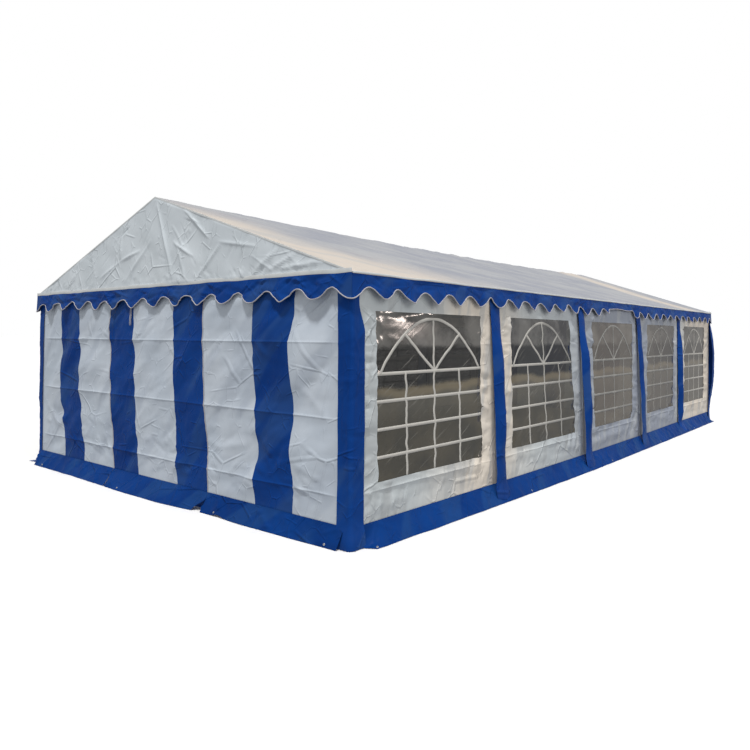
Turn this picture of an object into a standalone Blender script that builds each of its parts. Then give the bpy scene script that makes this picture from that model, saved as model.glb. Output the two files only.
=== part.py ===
"""Party tent, 5 m by 10 m: steel bents under a low ridge roof, with fabric walls on all sides.

Metres, +Z up, origin on the ground at the centre of the footprint. The ridge runs along Y, the
front gable with its zipped door faces -Y, and the window wall that faces +X is the right side.
"""
import math

import bmesh
import bpy
from mathutils import Matrix, Vector

# overall form
WIDTH = 5.0                 # outside of one long wall to the outside of the other
LENGTH = 10.0               # outside of one gable wall to the outside of the other
BAYS = 5                    # window bays along each long wall
EAVE_HEIGHT = 2.0
RIDGE_HEIGHT = 2.855        # at the gables
RIDGE_SAG = 0.055           # how far the ridge hangs down at the middle of the tent
EAVE_OVERHANG = 0.025       # roof edge outside the walls

# thin sheets, thicker than the real fabric so that they are solids
ROOF_THICKNESS = 0.006      # measured upright
WALL_THICKNESS = 0.006
TRIM_THICKNESS = 0.005
FILM_THICKNESS = 0.003
FILM_INSET = 0.0015
GAP = 0.0003                # between pieces that touch
MERGE_DISTANCE = 0.0001

# steel frame
TUBE_RADIUS = 0.019         # legs and the long tubes
RAFTER_RADIUS = 0.0185
GABLE_BEAM_RADIUS = 0.018
SLEEVE_RADIUS = 0.0225
SLEEVE_LENGTH = 0.10
SLEEVE_PROUD = 0.003        # end of a gable bent's sleeve outside the gable wall
TUBE_SIDES = 12
SHARP_ANGLE = 40            # degrees between facets past which an edge stays sharp
LEG_INSET = 0.018           # centre of a leg behind the outside of the wall
PLATE_SIZE = 0.12
PLATE_THICKNESS = 0.006
TUBE_END_SETBACK = 0.005

# walls, straps and skirts
WALL_BOTTOM = 0.010
WALL_TOP = 1.955
DOOR_WIDTH = 1.60
WINDOW_WIDTH = 1.46
WINDOW_BOTTOM = 0.445
WINDOW_TOP = 1.725
STRAP_WIDTH = 0.17
CORNER_STRAP_WIDTH = 0.13
SKIRT_TOP = 0.16
SIDE_SKIRT_REACH = 0.20
END_SKIRT_REACH = 0.11
SKIRT_LIP = 0.03            # stretch of skirt that lies flat on the ground
SKIRT_SHOULDER = 0.85       # share of the skirt's height that slopes
STRAP_BEND = 0.45           # height below which a strap stands out from its leg
STRAP_FOOT_SHARES = (0.06, 0.35, 0.65, 0.80)    # stations down the skirt's slope
STRAP_FOOT_INSETS = (0.008, 0.045)              # how the last stations narrow to a round end
LEFT_SLIT_MOUTH = 0.02      # how wide the door's slits in the skirt are at the outer edge
RIGHT_SLIT_MOUTH = 0.15
SLIT_START = 0.35           # share of the skirt's reach where a slit starts
SLIT_END = 1.2              # past the skirt's edge, so that the wedge cuts through
SLIT_TIP_WIDTH = 0.005
WEDGE_DEPTH = 0.02          # how far the cutting wedge starts below the ground

# valance
VALANCE_CREST = 1.91        # height of the scalloped edge between two tongues
VALANCE_TIP = 1.80          # height of the end of a tongue
VALANCE_FLARE = 0.03        # how far the tips stand out
END_SCALLOPS = 14
SIDE_SCALLOPS = 29
POINTS_PER_SCALLOP = 6

HALF_WIDTH = WIDTH / 2
HALF_LENGTH = LENGTH / 2
BAY = LENGTH / BAYS
ROOF_HALF_WIDTH = HALF_WIDTH + EAVE_OVERHANG
ROOF_HALF_LENGTH = HALF_LENGTH + EAVE_OVERHANG
LEG_X = HALF_WIDTH - LEG_INSET
END_BENT_Y = HALF_LENGTH - LEG_INSET
OVER_LEGS = TUBE_RADIUS - LEG_INSET + GAP       # outward place of what is laid over the legs

# each wall's turn about Z from the front, and its distance from the centre
WALLS = {
    "front": (0, HALF_LENGTH),
    "right": (90, HALF_WIDTH),
    "back": (180, HALF_LENGTH),
    "left": (270, HALF_WIDTH),
}

COLOURS = {
    "white_fabric": ((0.62, 0.64, 0.66), 0.45, 0.0),
    "roof_fabric": ((0.60, 0.60, 0.62), 0.45, 0.0),
    "blue_fabric": ((0.012, 0.065, 0.29), 0.35, 0.0),
    "window_film": ((0.30, 0.31, 0.28), 0.08, 0.0),
    "steel": ((0.42, 0.43, 0.43), 0.40, 0.9),
}


def clear_scene():
    for item in list(bpy.data.objects):
        bpy.data.objects.remove(item, do_unlink=True)


def material(name):
    """The Principled material of one finish, made once."""
    found = bpy.data.materials.get(name)
    if found:
        return found
    colour, roughness, metallic = COLOURS[name]
    made = bpy.data.materials.new(name)
    made.use_nodes = True
    shader = made.node_tree.nodes["Principled BSDF"]
    shader.inputs["Base Color"].default_value = (*colour, 1.0)
    shader.inputs["Roughness"].default_value = roughness
    shader.inputs["Metallic"].default_value = metallic
    return made


def add_object(name, shape, finish, placing=Matrix()):
    """Turns a bmesh into an object of its own, placed by a matrix that goes into the mesh."""
    bmesh.ops.transform(shape, matrix=placing, verts=shape.verts)
    bmesh.ops.recalc_face_normals(shape, faces=shape.faces)
    mesh = bpy.data.meshes.new(name)
    shape.to_mesh(mesh)
    shape.free()
    mesh.materials.append(material(finish))
    item = bpy.data.objects.new(name, mesh)
    bpy.context.scene.collection.objects.link(item)
    return item


def wall_frame(wall):
    """Maps (along, up, outward) on a wall to the tent, with outward 0 on the wall's outside."""
    turn, distance = WALLS[wall]
    axes = Matrix(((1, 0, 0, 0), (0, 0, -1, -distance), (0, 1, 0, 0), (0, 0, 0, 1)))
    return Matrix.Rotation(math.radians(turn), 4, "Z") @ axes


def sheet(loops, low, high):
    """A flat sheet from an outline and its holes, from one outward distance to another."""
    shape = bmesh.new()
    for loop in loops:
        corners = [shape.verts.new((along, up, low)) for along, up in loop]
        for start, end in zip(corners, corners[1:] + corners[:1]):
            shape.edges.new((start, end))
    bmesh.ops.triangle_fill(shape, use_beauty=True, edges=shape.edges[:])
    grown = bmesh.ops.extrude_face_region(shape, geom=shape.faces[:])
    moved = [item for item in grown["geom"] if isinstance(item, bmesh.types.BMVert)]
    bmesh.ops.translate(shape, verts=moved, vec=(0, 0, high - low))
    return shape


def loft(sections):
    """A solid through a row of four-cornered sections.

    Opposite sides are split along the same diagonal, so a twisted sheet keeps its thickness.
    """
    shape = bmesh.new()
    rings = [[shape.verts.new(point) for point in section] for section in sections]
    for near, far in zip(rings, rings[1:]):
        for index in range(len(near)):
            after = (index + 1) % len(near)
            start, end = (index, after) if index < 2 else (after, index)
            shape.faces.new((near[index], near[after], far[end]))
            shape.faces.new((near[start], far[after], far[index]))
    shape.faces.new(reversed(rings[0]))
    shape.faces.new(rings[-1])
    return shape


def ribbon(stations, thickness):
    """A band along a path in the outward and up plane.

    A station is (outward, up, lowest along, highest along) on the band's inner face.
    """
    sections = []
    for index, (outward, up, low, high) in enumerate(stations):
        before = stations[max(index - 1, 0)]
        after = stations[min(index + 1, len(stations) - 1)]
        run = Vector((after[0] - before[0], after[1] - before[1])).normalized()
        away = Vector((-run.y, run.x)) * thickness
        outer = (outward + away.x, up + away.y)
        sections.append([
            (low, up, outward),
            (high, up, outward),
            (high, outer[1], outer[0]),
            (low, outer[1], outer[0]),
        ])
    return loft(sections)


def rectangle(low, bottom, high, top):
    return [(low, bottom), (high, bottom), (high, top), (low, top)]


def box(low, high):
    """A bmesh box between two corners."""
    shape = bmesh.new()
    bmesh.ops.create_cube(shape, size=1.0)
    size = Vector(high) - Vector(low)
    middle = (Vector(high) + Vector(low)) / 2
    bmesh.ops.transform(shape, matrix=Matrix.Translation(middle) @ Matrix.Diagonal((*size, 1)),
                        verts=shape.verts)
    return shape


def rod(start, end, radius):
    """A bmesh cylinder between two points."""
    start, end = Vector(start), Vector(end)
    shape = bmesh.new()
    placing = (Matrix.Translation((start + end) / 2)
               @ (end - start).to_track_quat("Z", "Y").to_matrix().to_4x4())
    bmesh.ops.create_cone(shape, cap_ends=True, segments=TUBE_SIDES, radius1=radius,
                          radius2=radius, depth=(end - start).length, matrix=placing)
    return shape


def combine(target, other, operation):
    """Applies one exact Boolean to target, then removes the other object."""
    cut = target.modifiers.new(operation.lower(), "BOOLEAN")
    cut.operation = operation
    cut.solver = "EXACT"
    cut.object = other
    evaluated = target.evaluated_get(bpy.context.evaluated_depsgraph_get())
    result = bpy.data.meshes.new_from_object(evaluated)
    target.modifiers.clear()
    target.data = result
    bpy.data.objects.remove(other, do_unlink=True)


def shade_round(item):
    item.data.shade_smooth()
    item.data.set_sharp_from_angle(angle=math.radians(SHARP_ANGLE))


def bent_places():
    """Y of each bent, the end ones just inside the gable walls."""
    places = [-HALF_LENGTH + BAY * index for index in range(BAYS + 1)]
    places[0] = -END_BENT_Y
    places[-1] = END_BENT_Y
    return places


def ridge_height(y):
    """The ridge hangs as a parabola between the two gables."""
    return RIDGE_HEIGHT - RIDGE_SAG * (1 - (y / ROOF_HALF_LENGTH) ** 2)


def ridge_tube_height(y):
    """Centre of the ridge tube, so that a sleeve on it just clears the roof sheet."""
    slope = math.atan2(ridge_height(y) - EAVE_HEIGHT, ROOF_HALF_WIDTH)
    return ridge_height(y) - ROOF_THICKNESS - (SLEEVE_RADIUS + GAP) / math.cos(slope)


def eave_tube_height():
    """Centre of the eave tubes, set by the flattest part of the roof."""
    rise = (ridge_height(0) - EAVE_HEIGHT) / ROOF_HALF_WIDTH
    under = EAVE_HEIGHT + rise * (ROOF_HALF_WIDTH - LEG_X) - ROOF_THICKNESS
    return under - (SLEEVE_RADIUS + GAP) * math.hypot(1, rise)


def tube_reach(clearance):
    """Where a long tube, or the wider and longer bore that takes it, ends along Y."""
    return HALF_LENGTH - TUBE_END_SETBACK + clearance


def ridge_line(clearance):
    """The ridge tube, or with a clearance its bore, bent along the sagging ridge."""
    line = bpy.data.curves.new("ridge_line", "CURVE")
    line.dimensions = "3D"
    line.bevel_depth = TUBE_RADIUS + clearance
    line.bevel_resolution = 4
    line.use_fill_caps = True
    spline = line.splines.new("POLY")
    reach = tube_reach(clearance)
    steps = 2 * BAYS
    spline.points.add(steps)
    for index, point in enumerate(spline.points):
        y = reach * (2 * index / steps - 1)
        point.co = (0, y, ridge_tube_height(y), 1)
    guide = bpy.data.objects.new("ridge_line", line)
    bpy.context.scene.collection.objects.link(guide)
    evaluated = guide.evaluated_get(bpy.context.evaluated_depsgraph_get())
    shape = bmesh.new()
    shape.from_mesh(bpy.data.meshes.new_from_object(evaluated))
    bmesh.ops.remove_doubles(shape, verts=shape.verts, dist=MERGE_DISTANCE)
    bpy.data.objects.remove(guide, do_unlink=True)
    return shape


def eave_line(side, clearance):
    """The tube along one eave from gable to gable, or with a clearance its bore."""
    reach = tube_reach(clearance)
    height = eave_tube_height()
    ends = [(side * LEG_X, y, height) for y in (-reach, reach)]
    return rod(*ends, TUBE_RADIUS + clearance)


def make_long_tubes():
    shade_round(add_object("ridge_tube", ridge_line(0.0), "steel"))
    for name, side in (("eave_tube_right", 1), ("eave_tube_left", -1)):
        shade_round(add_object(name, eave_line(side, 0.0), "steel"))


def sleeve_span(y):
    """Where a sleeve starts and ends along Y: inwards only at the gables."""
    if abs(y) < END_BENT_Y:
        return y - SLEEVE_LENGTH / 2, y + SLEEVE_LENGTH / 2
    outer = math.copysign(HALF_LENGTH + SLEEVE_PROUD, y)
    return outer, outer - math.copysign(SLEEVE_LENGTH, y)


def plate_span(y):
    """Where a base plate starts and ends along Y: inwards only at the gables."""
    if abs(y) < END_BENT_Y:
        return y - PLATE_SIZE / 2, y + PLATE_SIZE / 2
    ends = (math.copysign(HALF_LENGTH, y), math.copysign(HALF_LENGTH - PLATE_SIZE, y))
    return min(ends), max(ends)


def make_bent(name, y):
    """Two legs on base plates, two rafters and the sleeves that take the long tubes."""
    eave = eave_tube_height()
    ridge = ridge_tube_height(y)
    start, end = sleeve_span(y)
    plate_low, plate_high = plate_span(y)
    sleeve_ends = [(0, place, ridge_tube_height(place)) for place in (start, end)]
    pieces = [rod(*sleeve_ends, SLEEVE_RADIUS)]
    for side in (1, -1):
        x = side * LEG_X
        edges = (side * HALF_WIDTH, side * (HALF_WIDTH - PLATE_SIZE))
        pieces += [
            rod((x, y, PLATE_THICKNESS / 2), (x, y, eave), TUBE_RADIUS),
            rod((x, y, eave), (0, y, ridge), RAFTER_RADIUS),
            rod((x, start, eave), (x, end, eave), SLEEVE_RADIUS),
            box((min(edges), plate_low, 0), (max(edges), plate_high, PLATE_THICKNESS)),
        ]
    if abs(y) == END_BENT_Y:
        pieces.append(rod((-LEG_X, y, eave), (LEG_X, y, eave), GABLE_BEAM_RADIUS))
    bent = add_object(name, pieces[0], "steel")
    for piece in pieces[1:]:
        combine(bent, add_object("piece", piece, "steel"), "UNION")
    for line in (ridge_line(GAP), eave_line(1, GAP), eave_line(-1, GAP)):
        combine(bent, add_object("bore", line, "steel"), "DIFFERENCE")
    shade_round(bent)


def make_bents():
    for number, y in enumerate(bent_places(), start=1):
        make_bent(f"bent_{number}", y)


def roof_under(x, y):
    """Height of the roof sheet's underside."""
    rise = (ridge_height(y) - EAVE_HEIGHT) / ROOF_HALF_WIDTH
    return EAVE_HEIGHT + rise * (ROOF_HALF_WIDTH - abs(x)) - ROOF_THICKNESS


def make_roof():
    """Each slope is ruled between the sagging ridge and its straight eave."""
    steps = 2 * BAYS
    for name, side in (("roof_cover_right", 1), ("roof_cover_left", -1)):
        sections = []
        for index in range(steps + 1):
            y = ROOF_HALF_LENGTH * (2 * index / steps - 1)
            inner = GAP / 2
            corners = []
            for x in (inner, ROOF_HALF_WIDTH):
                corners.append((side * x, y, roof_under(x, y)))
            for x in (ROOF_HALF_WIDTH, inner):
                corners.append((side * x, y, roof_under(x, y) + ROOF_THICKNESS))
            sections.append(corners)
        add_object(name, loft(sections), "roof_fabric")


def make_gable(wall):
    """The white triangle between the roof's end and the valance."""
    base = EAVE_HEIGHT - ROOF_THICKNESS - GAP
    apex = ridge_height(ROOF_HALF_LENGTH) - ROOF_THICKNESS - GAP
    outline = [(-ROOF_HALF_WIDTH, base), (ROOF_HALF_WIDTH, base), (0, apex)]
    shape = sheet([outline], EAVE_OVERHANG - TRIM_THICKNESS, EAVE_OVERHANG)
    add_object(f"gable_{wall}", shape, "roof_fabric", wall_frame(wall))


def scallop_height(share, count):
    """Height of the scalloped edge at a share of the valance's length: a tip at each end."""
    middle = (VALANCE_CREST + VALANCE_TIP) / 2
    swing = (VALANCE_CREST - VALANCE_TIP) / 2
    return middle - swing * math.cos(2 * math.pi * count * share)


def make_valance(wall):
    """A scalloped strip that hangs from the roof's edge and stands out a little at its tips."""
    at_end = wall in ("front", "back")
    count = END_SCALLOPS if at_end else SIDE_SCALLOPS
    top = EAVE_HEIGHT - ROOF_THICKNESS - (2 * GAP if at_end else GAP)
    half = ROOF_HALF_WIDTH if at_end else ROOF_HALF_LENGTH - TRIM_THICKNESS - GAP
    lean = VALANCE_FLARE / (top - VALANCE_TIP)
    sections = []
    steps = count * POINTS_PER_SCALLOP
    for index in range(steps + 1):
        share = index / steps
        bottom = scallop_height(share, count)
        section = []
        for up, outward in ((top, -TRIM_THICKNESS), (top, 0), (bottom, 0), (bottom, -TRIM_THICKNESS)):
            spread = lean * (top - up)
            along = (2 * share - 1) * (half + spread)
            section.append((along, up, EAVE_OVERHANG + outward + spread))
        sections.append(section)
    add_object(f"valance_{wall}", loft(sections), "blue_fabric", wall_frame(wall))


def make_wall(name, wall, low, high, hole=None):
    loops = [rectangle(low, WALL_BOTTOM, high, WALL_TOP)]
    if hole:
        loops.append(hole)
    add_object(name, sheet(loops, -WALL_THICKNESS, 0), "white_fabric", wall_frame(wall))


def make_end_walls(wall):
    """A door panel between two fixed panels, with a zip's width of nothing between them."""
    outer = HALF_WIDTH - LEG_INSET - leg_half_chord() - GAP
    door = DOOR_WIDTH / 2
    make_wall(f"{wall}_wall_left", wall, -outer, -door - GAP / 2)
    make_wall(f"{wall}_door", wall, -door + GAP / 2, door - GAP / 2)
    make_wall(f"{wall}_wall_right", wall, door + GAP / 2, outer)


def leg_half_chord():
    """Half the width of a leg where the inner face of the wall meets it."""
    return math.sqrt(TUBE_RADIUS ** 2 - (LEG_INSET - WALL_THICKNESS) ** 2)


def make_side_panels(wall):
    """One panel with a window in each bay, between two legs, and the clear film in its hole."""
    legs = bent_places()
    for bay in range(BAYS):
        low = legs[bay] + leg_half_chord() + GAP
        high = legs[bay + 1] - leg_half_chord() - GAP
        middle = -HALF_LENGTH + BAY * (bay + 0.5)
        left, right = middle - WINDOW_WIDTH / 2, middle + WINDOW_WIDTH / 2
        hole = rectangle(left, WINDOW_BOTTOM, right, WINDOW_TOP)
        make_wall(f"panel_{wall}_{bay + 1}", wall, low, high, hole)
        film = rectangle(left + GAP, WINDOW_BOTTOM + GAP, right - GAP, WINDOW_TOP - GAP)
        shape = sheet([film], -FILM_INSET - FILM_THICKNESS, -FILM_INSET)
        add_object(f"window_{wall}_{bay + 1}", shape, "window_film", wall_frame(wall))


def skirt_path(reach):
    """Inner face of a skirt, from the wall down its slope to the lip on the ground."""
    return [
        (OVER_LEGS, SKIRT_TOP),
        (OVER_LEGS, SKIRT_TOP * SKIRT_SHOULDER),
        (reach - SKIRT_LIP, 0.0),
        (reach, 0.0),
    ]


def make_skirt(wall):
    """A band from corner strap to corner strap that runs out over the ground."""
    at_end = wall in ("front", "back")
    reach = END_SKIRT_REACH if at_end else SIDE_SKIRT_REACH
    half = (HALF_WIDTH if at_end else HALF_LENGTH) - CORNER_STRAP_WIDTH - GAP
    stations = [(outward, up, -half, half) for outward, up in skirt_path(reach)]
    skirt = add_object(f"skirt_{wall}", ribbon(stations, TRIM_THICKNESS), "blue_fabric",
                       wall_frame(wall))
    if at_end:
        cut_door_slits(skirt, wall, reach)


def cut_door_slits(skirt, wall, reach):
    """Wedges out of the skirt's outer edge, where the door's skirt parts from its neighbours."""
    for side, mouth in ((-1, LEFT_SLIT_MOUTH), (1, RIGHT_SLIT_MOUTH)):
        door = side * DOOR_WIDTH / 2
        inner, outer = SLIT_START * reach, SLIT_END * reach
        sections = []
        for up in (-WEDGE_DEPTH, SKIRT_TOP):
            sections.append([
                (door, up, inner),
                (door - side * mouth, up, outer),
                (door - side * SLIT_TIP_WIDTH, up, outer + 2 * SLIT_TIP_WIDTH),
                (door + side * SLIT_TIP_WIDTH, up, inner),
            ])
        wedge = add_object("wedge", loft(sections), "blue_fabric", wall_frame(wall))
        combine(skirt, wedge, "DIFFERENCE")


def strap_path():
    """Inner face of a leg strap, from under the valance down and out over the skirt."""
    over = TRIM_THICKNESS + 3 * GAP
    slope_run = SIDE_SKIRT_REACH - SKIRT_LIP - OVER_LEGS
    slope_drop = SKIRT_TOP * SKIRT_SHOULDER
    lift = Vector((slope_drop, slope_run)).normalized() * over
    path = [(OVER_LEGS, WALL_TOP), (OVER_LEGS, STRAP_BEND), (OVER_LEGS + over, SKIRT_TOP + over)]
    for share in STRAP_FOOT_SHARES:
        outward = OVER_LEGS + slope_run * share + lift.x
        path.append((outward, slope_drop * (1 - share) + lift.y))
    return path


def make_straps(wall):
    """A strap over each leg between two bays, rounded at its foot."""
    path = strap_path()
    insets = [0.0] * (len(path) - len(STRAP_FOOT_INSETS)) + list(STRAP_FOOT_INSETS)
    for number, along in enumerate(bent_places()[1:-1], start=1):
        half = STRAP_WIDTH / 2
        stations = [(outward, up, along - half + inset, along + half - inset)
                    for (outward, up), inset in zip(path, insets)]
        add_object(f"strap_{wall}_{number}", ribbon(stations, TRIM_THICKNESS), "blue_fabric",
                   wall_frame(wall))


def make_corner_straps():
    """An angle of fabric over each corner leg, down to the ground."""
    inner = OVER_LEGS
    outer = inner + TRIM_THICKNESS
    for end, y_sign in (("front", -1), ("back", 1)):
        for side, x_sign in (("left", -1), ("right", 1)):
            outline = [
                (HALF_WIDTH - CORNER_STRAP_WIDTH, HALF_LENGTH + inner),
                (HALF_WIDTH + inner, HALF_LENGTH + inner),
                (HALF_WIDTH + inner, HALF_LENGTH - CORNER_STRAP_WIDTH),
                (HALF_WIDTH + outer, HALF_LENGTH - CORNER_STRAP_WIDTH),
                (HALF_WIDTH + outer, HALF_LENGTH + outer),
                (HALF_WIDTH - CORNER_STRAP_WIDTH, HALF_LENGTH + outer),
            ]
            placed = [(x * x_sign, y * y_sign) for x, y in outline]
            add_object(f"corner_strap_{end}_{side}", sheet([placed], 0.0, WALL_TOP), "blue_fabric")


def main():
    clear_scene()
    make_long_tubes()
    make_bents()
    make_roof()
    for wall in ("front", "back"):
        make_gable(wall)
        make_end_walls(wall)
    for wall in ("right", "left"):
        make_side_panels(wall)
        make_straps(wall)
    for wall in WALLS:
        make_valance(wall)
        make_skirt(wall)
    make_corner_straps()


main()
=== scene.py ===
"""Looks of a 5 m by 10 m party tent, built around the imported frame.

Metres, +Z up. The ridge runs along Y and the front gable faces -Y. Every sheet of fabric is a
surface on a grid that numpy works out as whole arrays. Each wall has its own directions: along
it, up it, and outward from it.
"""
import logging
import math
from dataclasses import dataclass
from enum import Enum
from typing import Sequence

import bmesh
import bpy
import numpy as np
from mathutils import Matrix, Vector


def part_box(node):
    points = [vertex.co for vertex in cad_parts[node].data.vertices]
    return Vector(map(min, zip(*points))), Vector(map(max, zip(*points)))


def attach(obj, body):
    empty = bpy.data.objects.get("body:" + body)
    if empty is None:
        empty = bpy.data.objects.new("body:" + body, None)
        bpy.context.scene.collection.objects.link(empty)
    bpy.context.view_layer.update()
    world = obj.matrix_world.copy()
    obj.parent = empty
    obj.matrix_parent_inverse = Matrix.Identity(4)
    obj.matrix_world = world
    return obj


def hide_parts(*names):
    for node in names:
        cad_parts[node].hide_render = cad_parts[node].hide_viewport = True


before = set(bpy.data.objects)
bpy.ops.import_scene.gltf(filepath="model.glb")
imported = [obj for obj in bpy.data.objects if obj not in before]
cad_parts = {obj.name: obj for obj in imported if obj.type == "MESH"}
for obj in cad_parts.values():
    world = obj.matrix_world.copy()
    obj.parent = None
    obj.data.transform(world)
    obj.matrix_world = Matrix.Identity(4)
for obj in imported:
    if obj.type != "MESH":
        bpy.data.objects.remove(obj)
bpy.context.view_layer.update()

Array = np.ndarray
Pair = tuple[float, float]
Triple = tuple[float, float, float]
Table = tuple[tuple[float, ...], ...]
LOG = logging.getLogger("party_tent")
GABLE_LAP = 0.0063  # how far the CAD gable's foot reaches below the eave line
CLOTH_BEHIND = 0.0004  # how far a wall's cloth lies behind the wall's plane
RELIEF_LIMITS = (-0.02, 0.03)  # how far folds of a gable wall go in and out


@dataclass(frozen=True)
class Layout:
    """The tent's main planes and places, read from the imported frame."""
    half_width: float
    half_length: float
    roof_half_width: float
    roof_half_length: float
    eave: float
    ridge: float
    wall_top: float
    wall_bottom: float
    bays: int = 5
    ridge_sag: float = 0.055
    strap_width: float = 0.17

    @classmethod
    def from_frame(cls) -> "Layout":
        """Takes the sizes from the boxes of the CAD nodes.

        Returns:
            The layout of this tent.
        """
        cover_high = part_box("roof_cover_right")[1]
        door_low, door_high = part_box("front_door")
        return cls(
            half_width=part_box("panel_right_1")[1].x,
            half_length=-door_low.y,
            roof_half_width=cover_high.x,
            roof_half_length=cover_high.y,
            eave=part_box("gable_front")[0].z + GABLE_LAP,
            ridge=cover_high.z,
            wall_top=door_high.z,
            wall_bottom=door_low.z,
        )

    @property
    def bay(self) -> float:
        """Distance between two bents."""
        return 2 * self.half_length / self.bays

    @property
    def bent_names(self) -> list[str]:
        """The CAD nodes of the bents, front to back."""
        return [f"bent_{number + 1}" for number in range(self.bays + 1)]

    def bent(self, number: int) -> float:
        """Y of a bent, counted from 0 at the front."""
        return -self.half_length + self.bay * number

    def ridge_height(self, y: Array) -> Array:
        """The ridge hangs as a parabola between the gables."""
        return self.ridge - self.ridge_sag * (1 - (y / self.roof_half_length) ** 2)

    def roof_height(self, x: Array, y: Array) -> Array:
        """Top of the roof sheet: straight down each slope from the ridge to the eave."""
        rise = (self.ridge_height(y) - self.eave) / self.roof_half_width
        return self.eave + rise * (self.roof_half_width - np.abs(x))


TENT = Layout.from_frame()


class Wall(Enum):
    """The four walls, each with the turn of its own directions from the front's, in degrees."""
    FRONT = 0
    RIGHT = 90
    BACK = 180
    LEFT = 270

    @property
    def label(self) -> str:
        """The wall's name in the names of pieces."""
        return self.name.lower()

    @property
    def is_end(self) -> bool:
        """Whether this is a gable wall."""
        return self in (Wall.FRONT, Wall.BACK)

    def place(self, along: Array, up: Array, outward: Array) -> Array:
        """Puts points of this wall's directions into the tent.

        Args:
            along: Distance to the right of the wall's middle, seen from outside.
            up: Height.
            outward: Distance outside the wall's plane.

        Returns:
            Points with x, y, z in the last axis.
        """
        turn = math.radians(self.value)
        distance = outward + (TENT.half_length if self.is_end else TENT.half_width)
        x = along * math.cos(turn) + distance * math.sin(turn)
        y = along * math.sin(turn) - distance * math.cos(turn)
        return np.stack(np.broadcast_arrays(x, y, up), axis=-1)

    @property
    def bent(self) -> str:
        """The bent behind a gable wall."""
        return TENT.bent_names[0 if self is Wall.FRONT else -1]

    def span(self, node: str) -> Pair:
        """Where a node's box starts and ends along this wall."""
        turn = math.radians(self.value)
        if self.is_end:
            ends = [corner.x * math.cos(turn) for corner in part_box(node)]
        else:
            ends = [corner.y * math.sin(turn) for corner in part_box(node)]
        return min(ends), max(ends)

    def outward(self) -> Array:
        """The direction out of the tent through this wall."""
        zero, one = np.zeros(1), np.ones(1)
        return self.place(zero, zero, one) - self.place(zero, zero, zero)


class Side(Enum):
    """Left and right, each with its sign along X or along a wall."""
    LEFT = -1
    RIGHT = 1

    @property
    def label(self) -> str:
        """The side's name in the names of pieces."""
        return self.name.lower()


class Slot(Enum):
    """The record's material slots."""
    WHITE = "white_fabric"
    ROOF = "roof_fabric"
    BLUE = "blue_fabric"
    FILM = "window_film"
    STEEL = "steel"


def smooth(low: float, high: float, x: Array) -> Array:
    """Rises from 0 at low to 1 at high along 3t^2 - 2t^3; high may lie below low."""
    t = np.clip((x - low) / (high - low), 0, 1)
    return t * t * (3 - 2 * t)


def graded(low: float, high: float, step: float, marks: Sequence[float] = (),
           fine: float = 0.005, count: int = 3) -> Array:
    """Stations from low to high, closer together round each mark.

    Args:
        low: First station.
        high: Last station.
        step: About how far apart the stations are.
        marks: Stations that must be there exactly.
        fine: Distance between the stations round a mark.
        count: How many of those lie on each side of a mark.

    Returns:
        Rising stations.
    """
    stations = np.linspace(low, high, max(2, round((high - low) / step) + 1))
    for mark in marks:
        far = np.abs(stations - mark) > (count + 0.6) * fine
        stations = np.concatenate([stations[far], mark + fine * np.arange(-count, count + 1)])
    return np.unique(np.round(np.clip(np.append(stations, [low, high]), low, high), 5))


def through(knots: Sequence[float], values: Array, x: Array) -> Array:
    """A smooth curve through given values.

    Cubic pieces, each with the slope at its ends that the neighbouring values give.

    Args:
        knots: Rising places of the values.
        values: The values along the last axis, for every x or the same for all.
        x: Where the curve is wanted; it stays level beyond the first and last knot.

    Returns:
        The curve's value at each x.
    """
    places = np.asarray(knots)
    x = np.clip(x, places[0], places[-1])
    values = np.broadcast_to(values, x.shape + places.shape)
    slopes = np.gradient(values, places, axis=-1)
    left = np.clip(np.searchsorted(places, x) - 1, 0, len(places) - 2)
    gap = places[left + 1] - places[left]
    t = (x - places[left]) / gap

    def pick(table: Array, index: Array) -> Array:
        """The entry of each row at its own index."""
        return np.take_along_axis(table, index[..., None], -1)[..., 0]

    return ((2 * t ** 3 - 3 * t ** 2 + 1) * pick(values, left)
            + (t ** 3 - 2 * t ** 2 + t) * gap * pick(slopes, left)
            + (3 * t ** 2 - 2 * t ** 3) * pick(values, left + 1)
            + (t ** 3 - t ** 2) * gap * pick(slopes, left + 1))


def side_lean(along: Array, up: Array) -> Array:
    """How far the feet of the long sides are pushed out between the corners.

    A smooth curve along the wall through the legs' feet, times a power of the drop below the
    eave.
    """
    bow = through((-5.0, -3.0, -1.0, 1.0, 3.0, 5.0),
                  np.array([0.0, 0.092, 0.127, 0.110, 0.030, 0.0]),
                  np.asarray(along, dtype=float))
    return bow * np.clip((1.92 - up) / 1.62, 0, 1) ** 0.75


def side_reach(along: Array) -> Array:
    """How far the long skirts' outer edge lies from the wall's plane."""
    return through((-5.0, -4.8, -3.8, -2.95, -1.1, 1.0, 3.0, 5.0),
                   np.array([0.110, 0.118, 0.150, 0.168, 0.195, 0.180, 0.160, 0.130]),
                   np.asarray(along, dtype=float))


@dataclass(frozen=True)
class Ripples:
    """A field of soft waves: sines whose directions, lengths and phases come from a seed.

    lean is the direction across the crests in degrees, and spread how far it varies.
    """
    seed: int
    length: float
    height: float
    lean: float = 0.0
    spread: float = 180.0
    octaves: int = 2
    waves: int = 6

    def at(self, along: Array, up: Array) -> Array:
        """Height of the waves: each octave has half the length and half the height."""
        rng = np.random.default_rng(self.seed)
        total, most = np.zeros(np.broadcast(along, up).shape), 0.0
        for octave in range(self.octaves):
            size = 0.5 ** octave
            for _ in range(self.waves):
                angle = math.radians(self.lean + rng.uniform(-self.spread, self.spread))
                number = 2 * math.pi / (self.length * size * rng.uniform(0.75, 1.35))
                phase = rng.uniform(0, 2 * math.pi)
                total += size * np.sin(
                    number * (along * math.cos(angle) + up * math.sin(angle)) + phase)
            most += size * math.sqrt(self.waves)
        return self.height * total / most


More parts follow.
